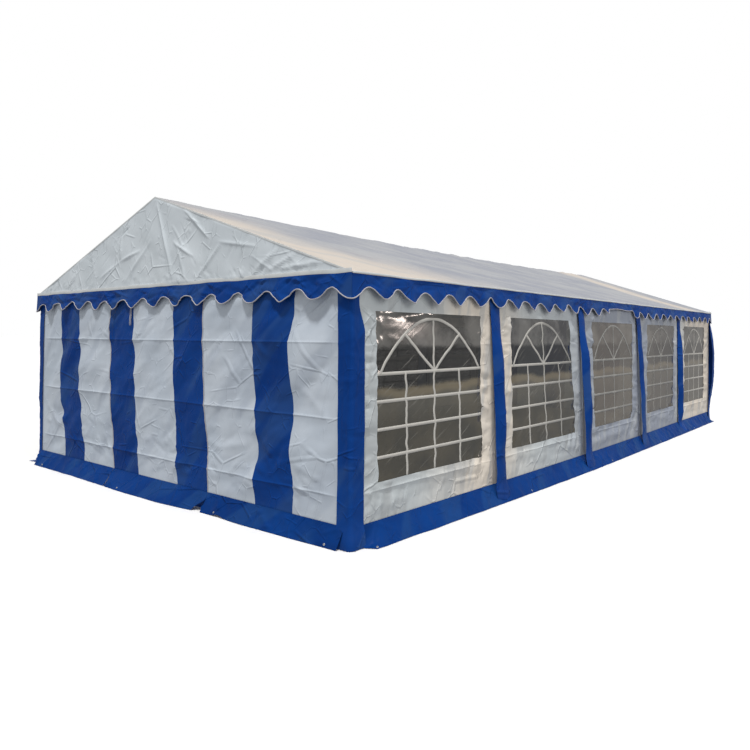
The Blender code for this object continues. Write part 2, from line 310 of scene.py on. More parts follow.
@dataclass(frozen=True)
class Crease:
    """A sharp fold along a straight line, which fades at both ends."""
    start: Pair
    end: Pair
    height: float
    width: float

    def at(self, along: Array, up: Array) -> Array:
        """Height: exp(-distance / width), times half a sine along the line."""
        run = np.subtract(self.end, self.start)
        share = ((along - self.start[0]) * run[0] + (up - self.start[1]) * run[1]) / (run @ run)
        inside = np.clip(share, 0, 1)
        distance = np.hypot(along - self.start[0] - inside * run[0],
                            up - self.start[1] - inside * run[1])
        blunt = np.sqrt(distance ** 2 + (0.25 * self.width) ** 2) - 0.25 * self.width
        return self.height * np.exp(-blunt / self.width) * np.sin(math.pi * inside) ** 0.5


@dataclass(frozen=True)
class Bulge:
    """A soft swelling round one point, which also pushes the fabric sideways."""
    centre: Pair
    reach: Pair
    outward: float
    sideways: float = 0.0

    def weight(self, along: Array, up: Array) -> Array:
        """A bell: exp of minus the squared distance, in reaches."""
        return np.exp(-((along - self.centre[0]) / self.reach[0]) ** 2
                      - ((up - self.centre[1]) / self.reach[1]) ** 2)


def drawn(table: Table) -> tuple[Crease, ...]:
    """Creases from rows of the line's two ends, the height and the width."""
    return tuple(Crease(row[:2], row[2:4], *row[4:]) for row in table)


def scatter(seed: int, count: int, low: Pair, high: Pair, length: Pair, lean: Pair,
            height: float, width: Pair) -> tuple[Crease, ...]:
    """Creases at random places in a rectangle.

    Args:
        seed: Start of the random draws.
        count: How many creases.
        low: Lowest along and up of their middles.
        high: Highest along and up of their middles.
        length: Shortest and longest.
        lean: Least and greatest direction, in degrees from along.
        height: Greatest height, either way.
        width: Narrowest and widest.

    Returns:
        The creases.
    """
    rng = np.random.default_rng(seed)
    made = []
    for _ in range(count):
        middle = rng.uniform(low, high)
        angle = math.radians(rng.uniform(*lean))
        half = rng.uniform(*length) / 2 * np.array([math.cos(angle), math.sin(angle)])
        rise = height * rng.uniform(0.4, 1.0) * rng.choice([-1.0, 1.0])
        made.append(Crease(tuple(middle - half), tuple(middle + half), rise, rng.uniform(*width)))
    return tuple(made)


@dataclass(frozen=True)
class Relief:
    """Everything that moves a sheet off its flat cut."""
    waves: tuple[Ripples, ...] = ()
    creases: tuple[Crease, ...] = ()
    bulges: tuple[Bulge, ...] = ()

    def outward(self, along: Array, up: Array) -> Array:
        """The sum of the waves, creases and bulges."""
        total = np.zeros(np.broadcast(along, up).shape)
        for part in self.waves + self.creases:
            total += part.at(along, up)
        for part in self.bulges:
            total += part.outward * part.weight(along, up)
        return total

    def sideways(self, along: Array, up: Array) -> Array:
        """How far the bulges push the fabric along the wall."""
        total = np.zeros(np.broadcast(along, up).shape)
        for part in self.bulges:
            total += part.sideways * part.weight(along, up)
        return total


def build_mesh(name: str, points: Array, flat: Array, finishes: Sequence[bpy.types.Material],
               paint: Array | None = None, keep: Array | None = None,
               wrap: tuple[bool, bool] = (False, False)) -> bpy.types.Object:
    """Makes one object of one or more grids of points.

    Args:
        name: The object's name.
        points: Points by (grid, row, column, xyz), or (row, column, xyz) for a single grid.
        flat: Places on the flat cut in metres, shaped as points but with two values.
        finishes: The object's materials.
        paint: Number of the material of each face, by (row, column).
        keep: Which faces are there, by (row, column).
        wrap: Whether the last row joins the first, and the last column the first.

    Returns:
        The smooth-shaded object, at the origin.
    """
    if points.ndim == 3:
        points, flat = points[None], flat[None]
    grids, rows, columns = points.shape[:3]
    index = np.arange(rows * columns).reshape(rows, columns)
    if wrap[0]:
        index = np.concatenate([index, index[:1]])
    if wrap[1]:
        index = np.concatenate([index, index[:, :1]], axis=1)
    quads = np.stack([index[:-1, :-1], index[:-1, 1:], index[1:, 1:], index[1:, :-1]], axis=-1)
    kept = quads[keep] if keep is not None else quads.reshape(-1, 4)
    faces = (kept[None] + rows * columns * np.arange(grids)[:, None, None]).reshape(-1, 4)
    used, faces = np.unique(faces, return_inverse=True)
    faces = faces.reshape(-1, 4)
    mesh = bpy.data.meshes.new(name)
    mesh.from_pydata(points.reshape(-1, 3)[used].tolist(), [], faces.tolist())
    layer = mesh.uv_layers.new(name="UVMap")
    layer.data.foreach_set("uv", flat.reshape(-1, 2)[used][faces.ravel()].astype("f").ravel())
    mesh.polygons.foreach_set("use_smooth", np.ones(len(faces), bool))
    for finish in finishes:
        mesh.materials.append(finish)
    if paint is not None:
        chosen = paint[keep] if keep is not None else paint.ravel()
        mesh.polygons.foreach_set("material_index", np.tile(chosen, grids).astype("i"))
    mesh.validate()
    mesh.update()
    piece = bpy.data.objects.new(name, mesh)
    bpy.context.scene.collection.objects.link(piece)
    return piece


def face_outwards(piece: bpy.types.Object) -> bpy.types.Object:
    """Turns the faces of a closed piece outwards."""
    shape = bmesh.new()
    shape.from_mesh(piece.data)
    bmesh.ops.recalc_face_normals(shape, faces=shape.faces)
    shape.to_mesh(piece.data)
    shape.free()
    return piece


def pairs(first: Array, second: Array) -> Array:
    """Places on the flat cut: the two fields side by side in a new last axis."""
    return np.stack(np.broadcast_arrays(first, second), axis=-1)


def unit(vectors: Array) -> Array:
    """The same directions with length 1."""
    return vectors / np.maximum(np.linalg.norm(vectors, axis=-1, keepdims=True), 1e-9)


def round_profile(radius: float, sides: int = 6) -> Array:
    """Corners of a regular outline round the origin."""
    angle = 2 * math.pi * np.arange(sides) / sides
    return radius * np.stack([np.cos(angle), np.sin(angle)], axis=-1)


def tape_profile(width: float, thickness: float) -> Array:
    """Corners of a flat band with bevelled long edges, lying on its underside."""
    half, edge = width / 2, min(thickness, width / 4)
    return np.array([(-half, 0), (half, 0), (half - edge / 2, thickness),
                     (-half + edge / 2, thickness)])


def band_profile(width: float, thickness: float) -> Array:
    """Corners of a flat strip whose top stays level up to narrow rounded long edges."""
    half, rim = width / 2, min(thickness, width / 8)
    return np.array([(-half, 0), (half, 0), (half - rim / 2, 0.7 * thickness),
                     (half - 1.5 * rim, thickness), (-half + 1.5 * rim, thickness),
                     (-half + rim / 2, 0.7 * thickness)])


def swept(name: str, path: Array, away: Array, profile: Array, finish: bpy.types.Material,
          closed: bool = False) -> bpy.types.Object:
    """Carries a profile along one or more paths of equal length.

    A corner (p, q) of the profile goes to path + p * across + q * away, where across is square
    to the path's run and to away.

    Args:
        name: The object's name.
        path: Points by (path, station, xyz), or (station, xyz).
        away: Direction away from the surface under the path, shaped as path.
        profile: Closed outline as (corner, 2).
        finish: The material.
        closed: Whether each path's end joins its start.

    Returns:
        The object, with its ends narrowed to a point where the path is open.
    """
    if path.ndim == 2:
        path, away = path[None], np.broadcast_to(away, path.shape)[None]
    if closed:
        run = np.roll(path, -1, axis=1) - np.roll(path, 1, axis=1)
    else:
        run = np.gradient(path, axis=1)
        path = np.concatenate([path[:, :1], path, path[:, -1:]], axis=1)
        run = np.concatenate([run[:, :1], run, run[:, -1:]], axis=1)
        away = np.concatenate([away[:, :1], away, away[:, -1:]], axis=1)
    run = unit(run)
    across = unit(np.cross(run, away))
    away = unit(np.cross(across, run))
    size = np.ones(path.shape[1])
    if not closed:
        size[[0, -1]] = 0.02
    p, q = profile[:, 0, None, None], profile[:, 1, None, None]
    points = (path[:, None] + size[:, None] * (p * across[:, None] + q * away[:, None]))
    length = np.concatenate([np.zeros((len(path), 1)),
                             np.cumsum(np.linalg.norm(np.diff(path, axis=1), axis=-1), axis=1)],
                            axis=1)
    girth = np.linspace(0, 1, len(profile), endpoint=False) * np.ptp(profile[:, 0]) * 2
    flat = pairs(length[:, None, :], girth[None, :, None])
    return face_outwards(build_mesh(name, points, flat, [finish], wrap=(True, closed)))


def dress(piece: bpy.types.Object, slot: Slot, *nodes: str) -> bpy.types.Object:
    """Hangs a piece on the frame.

    Args:
        piece: The new piece.
        slot: The record's slot that its finish comes from; not used.
        nodes: The CAD nodes that it stands for.

    Returns:
        The same piece.
    """
    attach(piece, "root")
    if nodes:
        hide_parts(*nodes)
    LOG.info("%s: %d faces", piece.name, len(piece.data.polygons))
    return piece


class Nodes:
    """A short way to wire one Principled material."""

    def __init__(self, name: str) -> None:
        """Makes the material with its shader and its two kinds of coordinates."""
        self.material = bpy.data.materials.new(name)
        self.material.use_nodes = True
        self.tree = self.material.node_tree
        self.shader = self.tree.nodes["Principled BSDF"]
        self.places = self.tree.nodes.new("ShaderNodeTexCoord")

    def add(self, kind: str, inputs: dict[str, object] | None = None, **settings: object
            ) -> bpy.types.Node:
        """Adds a node.

        Args:
            kind: Its type after "ShaderNode".
            inputs: A value, or another node's output, for each named socket.
            settings: Its own properties.

        Returns:
            The node.
        """
        node = self.tree.nodes.new("ShaderNode" + kind)
        for key, value in settings.items():
            setattr(node, key, value)
        for key, value in (inputs or {}).items():
            self.join(value, node.inputs[key])
        return node

    def join(self, value: object, socket: bpy.types.NodeSocket) -> None:
        """Links an output to a socket, or sets the socket's value."""
        if isinstance(value, bpy.types.NodeSocket):
            self.tree.links.new(value, socket)
        else:
            socket.default_value = value

    def wire(self, socket: str, value: object) -> None:
        """Gives a socket of the shader a value or another node's output."""
        self.join(value, self.shader.inputs[socket])

    @property
    def cloth(self) -> bpy.types.NodeSocket:
        """Places on the flat cut, in metres."""
        return self.places.outputs["UV"]

    def mapped(self, kind: str, scale: Triple, turn: float = 0.0
               ) -> bpy.types.NodeSocket:
        """Coordinates of a kind, turned about Z by degrees and then scaled."""
        size = tuple(1 / value for value in scale)
        node = self.add("Mapping", {"Vector": self.places.outputs[kind], "Scale": size},
                        vector_type="TEXTURE")
        node.inputs["Rotation"].default_value = (0, 0, math.radians(turn))
        return node.outputs["Vector"]

    def noise(self, vector: bpy.types.NodeSocket, scale: float, detail: float = 3.0,
              rough: float = 0.5, kind: str = "FBM") -> bpy.types.NodeSocket:
        """A noise field of about 0 to 1."""
        node = self.add("TexNoise", {"Vector": vector, "Scale": scale, "Detail": detail,
                                     "Roughness": rough}, noise_type=kind)
        return node.outputs["Fac"]

    def spread(self, value: bpy.types.NodeSocket, source: Pair, target: Pair
               ) -> bpy.types.NodeSocket:
        """Takes a range of values to another along 3t^2 - 2t^3, held at both ends."""
        node = self.add("MapRange", {"Value": value, "From Min": source[0], "From Max": source[1],
                                     "To Min": target[0], "To Max": target[1]},
                        interpolation_type="SMOOTHSTEP")
        return node.outputs["Result"]

    def math(self, operation: str, *values: object) -> bpy.types.NodeSocket:
        """The result of one sum on sockets or numbers."""
        node = self.add("Math", operation=operation)
        for value, socket in zip(values, node.inputs):
            self.join(value, socket)
        return node.outputs[0]

    def axis(self, name: str) -> bpy.types.NodeSocket:
        """X, Y or Z of the place on the object."""
        return self.add("SeparateXYZ", {"Vector": self.places.outputs["Object"]}).outputs[name]

    def blend(self, factor: bpy.types.NodeSocket, first: object, second: object
              ) -> bpy.types.NodeSocket:
        """Mixes two colours."""
        node = self.add("Mix", data_type="RGBA")
        self.join(factor, node.inputs[0])
        self.join(first, node.inputs[6])
        self.join(second, node.inputs[7])
        return node.outputs[2]

    def bump(self, height: bpy.types.NodeSocket, distance: float, strength: float,
             under: bpy.types.NodeSocket | None = None) -> bpy.types.NodeSocket:
        """A relief in the shading, on top of another one."""
        inputs = {"Height": height, "Distance": distance, "Strength": strength}
        if under is not None:
            inputs["Normal"] = under
        return self.add("Bump", inputs).outputs["Normal"]


def rgb(*values: float) -> tuple[float, float, float, float]:
    """A colour with full alpha, from linear values."""
    return (*values, 1.0)


@dataclass(frozen=True)
class PaintedLightBand:
    """Where a cloth takes a tone of painted warm light or painted shade, as each band is given: a
    range of toward * y + tilt * |x|, in metres.
    """
    toward: float
    tilt: float
    rise: Pair
    fall: Pair
    tint: Triple
    wander: float = 0.3

    def share(self, made: Nodes) -> bpy.types.NodeSocket:
        """How much of the painted tone there is, from 0 to 1."""
        across = made.math("MULTIPLY", made.math("ABSOLUTE", made.axis("X")), self.tilt)
        place = made.math("MULTIPLY_ADD", made.axis("Y"), self.toward, across)
        stray = made.spread(made.noise(made.cloth, 0.9, 3.0), (0.2, 0.8),
                            (-self.wander, self.wander))
        place = made.math("ADD", place, stray)
        rise = made.spread(place, self.rise, (0.0, 1.0))
        return made.math("MULTIPLY", rise, made.spread(place, self.fall, (1.0, 0.0)))


@dataclass(frozen=True)
class Streaks:
    """Long soft facets of painted fold shade, or of painted sheen where their tone is lighter, in a
    cloth's tone.

    turn is their direction in degrees, along and across how often they change per metre, and
    share how strong they are.
    """
    turn: float
    along: float
    across: float
    share: float

    def mask(self, made: Nodes) -> bpy.types.NodeSocket:
        """How strong the painted fold tone is at a place, from 0 to share."""
        field = made.noise(made.mapped("UV", (self.along, self.across, 1.0), self.turn), 1.0, 2.0)
        return made.spread(field, (0.50, 0.60), (0.0, self.share))


@dataclass(frozen=True)
class CoatedFabric:
    """Woven polyethylene with a coating: faint weave, fine crinkles, soft stains, a dusty foot.

    The streaks take a tone of painted fold shade or painted sheen, and each band of painted warm
    light or painted shade has its own tone.
    """
    name: str
    colour: Triple
    shade: Triple
    roughness: float
    gloss: float
    crinkle: float
    streaks: Streaks
    facet_shade_and_sheen: Triple
    dust: Triple = (0.36, 0.33, 0.29)
    dust_share: float = 0.25
    bands: tuple[PaintedLightBand, ...] = ()

    def tone(self, made: Nodes) -> bpy.types.NodeSocket:
        """The cloth's colour with its broad stains, its stretches of painted warm light and painted
        shade, and its streaks of painted fold shade and sheen.
        """
        cloth = made.cloth
        broad = made.noise(cloth, 1.3, 4.0, 0.6)
        colour = made.blend(made.spread(broad, (0.32, 0.68), (0.0, 1.0)), rgb(*self.colour),
                            rgb(*self.shade))
        # stretches of painted warm light and painted shade, by place
        for band in self.bands:
            colour = made.blend(band.share(made), colour, rgb(*band.tint))
        # streaks of painted fold shade, or lighter painted sheen on some cloths
        return made.blend(self.streaks.mask(made), colour, rgb(*self.facet_shade_and_sheen))

    def folds(self, made: Nodes, cells: float, width: float, seed: float
              ) -> bpy.types.NodeSocket:
        """Straight fold lines that part the cloth into flat facets; many fade out half way."""
        cloth = made.mapped("UV", (1.0, 1.5, 1.0), seed)
        edge = made.add("TexVoronoi", {"Vector": cloth, "Scale": cells, "Randomness": 1.0},
                        feature="DISTANCE_TO_EDGE").outputs["Distance"]
        line = made.spread(edge, (0.0, width * cells), (1.0, 0.0))
        shown = made.spread(made.noise(cloth, 0.8 * cells, 2.0), (0.46, 0.60), (0.0, 1.0))
        return made.math("MULTIPLY", line, shown)

    def relief(self, made: Nodes) -> bpy.types.NodeSocket:
        """Fold lines in two sizes, soft crinkles and the weave, one on top of the other."""
        cloth = made.cloth
        creased = made.noise(made.mapped("UV", (1.0, 1.6, 1.0), 35.0), 4.5, 4.0, 0.55,
                             "RIDGED_MULTIFRACTAL")
        normal = made.bump(creased, 0.012, 0.5 * self.crinkle)
        normal = made.bump(self.folds(made, 1.7, 0.020, 20.0), 0.007, self.crinkle, normal)
        normal = made.bump(self.folds(made, 5.0, 0.011, 65.0), 0.0035, self.crinkle, normal)
        for direction in ("X", "Y"):
            weave = made.add("TexWave", {"Vector": cloth, "Scale": 110.0},
                             bands_direction=direction).outputs["Fac"]
            normal = made.bump(weave, 0.0002, 0.25, normal)
        return normal

    def material(self) -> bpy.types.Material:
        """Wires the finish.

        Returns:
            The material.
        """
        made = Nodes(self.name)
        cloth = made.cloth
        low = made.spread(made.axis("Z"), (0.0, 0.35), (self.dust_share, 0.0))
        specks = made.spread(made.noise(cloth, 9.0, 6.0, 0.7), (0.35, 0.7), (0.0, 1.0))
        colour = made.blend(made.math("MULTIPLY", low, specks), self.tone(made), rgb(*self.dust))
        made.wire("Base Color", colour)
        rough = made.noise(cloth, 14.0, 3.0)
        made.wire("Roughness", made.spread(rough, (0.3, 0.7), (self.roughness - 0.06,
                                                               self.roughness + 0.08)))
        made.wire("Specular IOR Level", self.gloss)
        made.wire("Normal", self.relief(made))
        return made.material


@dataclass(frozen=True)
class ClearFilm:
    """Clear window film gone dull: hazy above its level crease, painted shade below it, a band of
    painted ground reflection, dusty low down.
    """
    name: str = "window_film"
    hazy: Triple = (0.17, 0.165, 0.155)
    # painted shade: the clear film's tone below its crease
    dark: Triple = (0.007, 0.007, 0.0065)
    # painted reflection of the ground, in a band under the crease
    painted_ground_reflection: Triple = (0.19, 0.160, 0.105)
    pale: Triple = (0.090, 0.086, 0.070)
    dusty: Triple = (0.048, 0.046, 0.036)
    clouded: Triple = (0.24, 0.205, 0.165)
    scratched: Triple = (0.30, 0.29, 0.26)
    alpha: float = 0.88
    gloss: float = 0.50

    def tone(self, made: Nodes) -> bpy.types.NodeSocket:
        """Zones by height with ragged borders, painted shade and a band of painted ground
        reflection among them; more clouded half way along, and fine scratches.
        """
        cloth = made.cloth
        stain = made.noise(cloth, 2.6, 5.0, 0.6)
        stray = made.spread(made.noise(cloth, 2.0, 4.0), (0.2, 0.8), (-0.035, 0.035))
        height = made.math("ADD", made.axis("Z"), stray)
        haze = made.math("MULTIPLY", made.spread(height, (1.43, 1.48), (0.0, 1.0)),
                         made.spread(stain, (0.38, 0.62), (0.35, 1.0)))
        # below the crease the film is painted near-black as shade
        colour = made.blend(haze, rgb(*self.dark), rgb(*self.hazy))
        # painted ground reflection in a band at about 1.05 to 1.17 m
        low = made.spread(height, (1.17, 1.12), (0.0, 1.0))
        colour = made.blend(low, colour, rgb(*self.painted_ground_reflection))
        lower = made.math("MULTIPLY", made.spread(height, (1.10, 1.05), (0.0, 1.0)),
                          made.spread(stain, (0.3, 0.7), (1.0, 0.70)))
        ground = made.blend(made.spread(height, (1.02, 0.80), (0.0, 1.0)), rgb(*self.pale),
                            rgb(*self.dusty))
        colour = made.blend(lower, colour, ground)
        along = made.axis("Y")
        cloud = made.math("MULTIPLY", made.spread(along, (-1.4, -0.6), (0.0, 0.46)),
                          made.spread(along, (0.8, 2.6), (1.0, 0.60)))
        colour = made.blend(cloud, colour, rgb(*self.clouded))
        hair = made.noise(made.mapped("UV", (2.4, 34.0, 1.0), 30.0), 1.0, 3.0, 0.6)
        return made.blend(made.spread(hair, (0.58, 0.74), (0.0, 0.45)), colour,
                          rgb(*self.scratched))

    def material(self) -> bpy.types.Material:
        """Wires the finish.

        Returns:
            The material.
        """
        made = Nodes(self.name)
        made.wire("Base Color", self.tone(made))
        stain = made.noise(made.cloth, 3.0, 5.0, 0.6)
        made.wire("Roughness", made.spread(stain, (0.3, 0.7), (0.06, 0.12)))
        made.wire("Alpha", self.alpha)
        made.wire("Specular IOR Level", self.gloss)
        streaks = made.noise(made.mapped("UV", (3.0, 22.0, 1.0), 32.0), 1.0, 3.0, 0.6)
        normal = made.bump(streaks, 0.0005, 0.5)
        dents = made.noise(made.cloth, 7.0, 2.0)
        made.wire("Normal", made.bump(dents, 0.0012, 0.15, normal))
        made.material.surface_render_method = "BLENDED"
        return made.material


@dataclass(frozen=True)
class GalvanisedSteel:
    """Zinc-coated tube with its mottled grey."""
    name: str = "galvanised_steel"
    bright: Triple = (0.52, 0.53, 0.54)
    dull: Triple = (0.30, 0.31, 0.32)

    def material(self) -> bpy.types.Material:
        """Wires the finish.

        Returns:
            The material.
        """
        made = Nodes(self.name)
        spot = made.places.outputs["Object"]
        flakes = made.add("TexVoronoi", {"Vector": spot, "Scale": 60.0}).outputs["Color"]
        value = made.add("SeparateColor", {"Color": flakes}).outputs[0]
        colour = made.blend(value, rgb(*self.dull), rgb(*self.bright))
        made.wire("Base Color", colour)
        made.wire("Roughness", made.spread(value, (0.0, 1.0), (0.32, 0.5)))
        made.wire("Metallic", 0.9)
        scratches = made.noise(made.mapped("Object", (1.0, 1.0, 8.0)), 30.0)
        made.wire("Normal", made.bump(scratches, 0.0004, 0.3))
        return made.material


@dataclass(frozen=True)
class Piping:
    """Woven edge binding, grey-white."""
    name: str
    colour: Triple
    roughness: float = 0.6

    def material(self) -> bpy.types.Material:
        """Wires the finish: a fine rib along the binding and faint stains.

        Returns:
            The material.
        """
        made = Nodes(self.name)
        cloth = made.cloth
        stain = made.noise(cloth, 12.0, 4.0)
        dark = tuple(0.75 * value for value in self.colour)
        made.wire("Base Color", made.blend(stain, rgb(*self.colour), rgb(*dark)))
        made.wire("Roughness", made.spread(stain, (0.2, 0.8), (self.roughness - 0.1,
                                                               self.roughness + 0.1)))
        rib = made.add("TexWave", {"Vector": cloth, "Scale": 90.0}).outputs["Fac"]
        made.wire("Normal", made.bump(rib, 0.0004, 0.4))
        return made.material


@dataclass(frozen=True)
class Palette:
    """Every finish of the tent, made once."""
    white: bpy.types.Material
    side: bpy.types.Material
    blue: bpy.types.Material
    skirt: bpy.types.Material
    roof: bpy.types.Material
    gable: bpy.types.Material
    film: bpy.types.Material
    steel: bpy.types.Material
    binding: bpy.types.Material
    hem: bpy.types.Material
    bars: bpy.types.Material
    metal: bpy.types.Material

    @classmethod
    def mixed(cls) -> "Palette":
        """Makes the materials.

        Returns:
            The palette.
        """
        return cls(
            # Streaks paint fold shade in a darker tone on the white, side, gable and bar cloths,
            # and sheen in a lighter tone on the blue, skirt and roof cloths.
            white=CoatedFabric("white_fabric", (0.60, 0.66, 0.74), (0.53, 0.60, 0.69), 0.45, 0.25,
                               0.6, Streaks(48, 0.7, 3.6, 0.6), (0.47, 0.53, 0.62)).material(),
            side=CoatedFabric("side_fabric", (0.58, 0.63, 0.655), (0.525, 0.57, 0.595), 0.45, 0.25,
                              0.9, Streaks(75, 1.2, 6.0, 0.5), (0.44, 0.465, 0.48),
                              # painted warm light on the front and back bays, painted shade over
                              # the middle bays
                              bands=(PaintedLightBand(1, 0, (-4.4, -3.2), (-3.0, -1.9), (0.77, 0.705, 0.62)),
                                     PaintedLightBand(1, 0, (-2.2, -0.2), (2.7, 3.1), (0.31, 0.345, 0.415),
                                          0.15),
                                     PaintedLightBand(1, 0, (2.6, 3.8), (5.6, 6.0), (0.77, 0.705, 0.62))
                                     )).material(),
            blue=CoatedFabric("blue_fabric", (0.0055, 0.055, 0.272), (0.0030, 0.039, 0.214),
                              0.40, 0.06, 0.9, Streaks(50, 0.7, 3.4, 0.55), (0.028, 0.085, 0.26),
                              (0.06, 0.09, 0.18), 0.15).material(),
            skirt=CoatedFabric("skirt_fabric", (0.0030, 0.045, 0.225), (0.0018, 0.032, 0.176),
                               0.42, 0.06, 0.9, Streaks(50, 0.7, 3.4, 0.55),
                               (0.014, 0.064, 0.22), (0.04, 0.07, 0.15), 0.06).material(),
            roof=CoatedFabric("roof_fabric", (0.395, 0.41, 0.445), (0.325, 0.343, 0.40), 0.45, 0.25,
                              0.5, Streaks(62, 0.5, 3.0, 0.45), (0.48, 0.49, 0.50),
                              # painted warm light in bands near both gable ends
                              bands=(PaintedLightBand(-1, 0.75, (4.5, 6.2), (9.0, 9.5), (0.66, 0.595, 0.53),
                                          0.35),
                                     PaintedLightBand(1, 0.25, (3.5, 4.2), (4.3, 5.0), (0.66, 0.595, 0.53),
                                          0.2))).material(),
            gable=CoatedFabric("gable_fabric", (0.71, 0.77, 0.82), (0.65, 0.71, 0.76), 0.45, 0.25,
                               0.75, Streaks(110, 0.9, 3.5, 0.3), (0.58, 0.64, 0.68)).material(),
            film=ClearFilm().material(),
            steel=GalvanisedSteel().material(),
            binding=Piping("edge_binding", (0.50, 0.49, 0.52)).material(),
            hem=Piping("white_hem", (0.76, 0.79, 0.80), 0.5).material(),
            bars=CoatedFabric("window_bars", (0.58, 0.565, 0.53), (0.54, 0.53, 0.50), 0.45, 0.25,
                              0.3, Streaks(75, 1.2, 6.0, 0.2), (0.50, 0.49, 0.47),
                              # painted shade on the bars of the middle windows
                              bands=(PaintedLightBand(1, 0, (-2.9, -0.8), (2.6, 4.8), (0.27, 0.27, 0.26),
                                          0.15),)).material(),
            metal=GalvanisedSteel("eyelet_metal", (0.75, 0.74, 0.72), (0.5, 0.5, 0.5)).material(),
        )


@dataclass
class RoofCover:
    """One sheet over both slopes, with the gable triangles and the seams between them.

    lip is how far the turned-down edge stands out and where its fold lies, apex the triangle's
    drop below the ridge and its half width there, and gable_hem the two heights between which
    the triangle steps out under its hem, and by how much.
    """
    finishes: Palette
    step: float = 0.031
    ridge_round: float = 0.015
    bay_sag: float = 0.014
    hem_drop: float = 0.014
    hem_out: float = 0.004
    lip: Pair = (0.001, 0.003)
    lift: float = 0.0015
    seam_width: float = 0.015
    seam_thickness: float = 0.0008
    hem_width: float = 0.032
    eave_hem: Pair = (0.016, 0.003)
    eave_hem_drop: float = 0.006
    rake_drop: float = 0.007
    rake_proud: float = 0.0004
    foot_rise: float = 0.010
    foot_proud: float = 0.0018
    apex: Pair = (0.004, 0.004)
    gable_hem: Triple = (0.034, 0.030, 0.0012)
    gable_bottom: float = 2.03
    gable_grid: tuple[int, int] = (70, 260)
    roof_seed: int = 11
    gable_seed: int = 20
    hem_seed: int = 30
    gable_folds: Table = (
        (0.04, 2.78, 0.30, 2.06, 0.020, 0.030), (-0.05, 2.45, -0.55, 2.06, 0.012, 0.025),
        (-0.62, 2.30, -0.60, 2.55, 0.014, 0.020), (-0.62, 2.28, -0.25, 2.36, 0.015, 0.018),
        (-1.05, 2.12, -0.62, 2.28, 0.012, 0.022), (0.30, 2.40, 0.62, 2.24, 0.017, 0.020),
        (0.48, 2.68, 0.85, 2.38, 0.017, 0.022), (0.66, 2.03, 1.02, 2.32, 0.017, 0.018),
        (0.98, 2.34, 1.50, 2.26, 0.012, 0.020), (0.36, 2.38, 0.50, 2.05, 0.010, 0.018),
        (1.45, 2.05, 1.75, 2.22, 0.015, 0.030), (1.62, 2.05, 1.95, 2.17, 0.015, 0.025),
        (1.75, 2.06, 2.25, 2.09, 0.014, 0.020), (-1.75, 2.05, -1.55, 2.22, 0.010, 0.025),
        (-2.1, 2.03, -2.0, 2.12, 0.009, 0.02),
    )

    def relief(self) -> Relief:
        """Soft pulls across the slopes, and finer creases by the ridge."""
        seed = self.roof_seed
        across = Ripples(seed, 0.9, 0.005, lean=70, spread=25)
        fine = Ripples(seed + 1, 0.35, 0.0022, lean=60, spread=40)
        wide, deep = TENT.roof_half_width, TENT.roof_half_length
        ridge = scatter(seed + 2, 90, (-0.9, -deep), (0.9, deep), (0.3, 0.9), (-40, 40), 0.010,
                        (0.022, 0.04))
        eaves = scatter(seed + 3, 60, (-wide, -deep), (wide, deep), (0.2, 0.8), (-180, 180),
                        0.0050, (0.022, 0.04))
        return Relief((across, fine), ridge + eaves)

    def make_sheet(self) -> None:
        """Height: the CAD roof's, less a shallow dish in each bay, plus the relief."""
        wide, deep = TENT.roof_half_width, TENT.roof_half_length
        slope = graded(0, wide, self.step, (0.0,), 0.012, 2)
        hem = wide + self.hem_out
        xs = np.concatenate([-slope[::-1], slope[1:]])
        ys = graded(-deep, deep, self.step, [TENT.bent(n) for n in range(1, TENT.bays)], 0.015, 2)
        x, y = np.meshgrid(xs, ys)
        share = np.abs(x) / wide
        dish = np.sin(math.pi * share) * np.sin(math.pi * (y + TENT.half_length) / TENT.bay) ** 2
        edge = smooth(1.0, 0.93, share) * smooth(deep, deep - 0.25, np.abs(y))
        rounded = np.sqrt(x ** 2 + self.ridge_round ** 2)
        z = TENT.roof_height(np.minimum(rounded, wide), y) - self.bay_sag * dish
        z = z + edge * self.relief().outward(x, y) + self.lift
        points = np.stack([x, y, z], axis=-1)
        out, fold = self.lip
        lips = []
        for side in Side:
            for drop, past in ((fold, self.hem_out), (self.hem_drop, self.hem_out + out)):
                lips.append(np.stack([np.full_like(ys, side.value * (wide + past)), ys,
                                      np.full_like(ys, TENT.eave - drop)], axis=-1)[:, None])
        points = np.concatenate([lips[1], lips[0], points, lips[2], lips[3]], axis=1)
        run = np.concatenate([[-hem - self.hem_drop, -hem], xs, [hem, hem + self.hem_drop]])
        flat = np.stack(np.meshgrid(run, ys), axis=-1)
        cover = build_mesh("roof_sheet", points, flat, [self.finishes.roof])
        dress(cover, Slot.ROOF, "roof_cover_right", "roof_cover_left")

    def gable_relief(self, wall: Wall) -> Relief:
        """Pulls from the apex and the corners, with puckers along the hem."""
        seed, low = self.gable_seed + wall.value, self.gable_bottom
        loose = scatter(seed, 64, (-2.1, low), (2.1, 2.62), (0.08, 0.34), (20, 160), 0.0050,
                        (0.005, 0.010))
        puckers = scatter(seed + 1, 60, (-2.3, low), (2.3, 2.08), (0.04, 0.14), (50, 130), 0.007,
                          (0.006, 0.011))
        thin = tuple(Crease(fold.start, fold.end, 0.80 * fold.height, 0.60 * fold.width)
                     for fold in drawn(self.gable_folds))
        return Relief((Ripples(seed + 2, 0.8, 0.005), Ripples(seed + 3, 0.25, 0.0012)),
                      thin + loose + puckers)

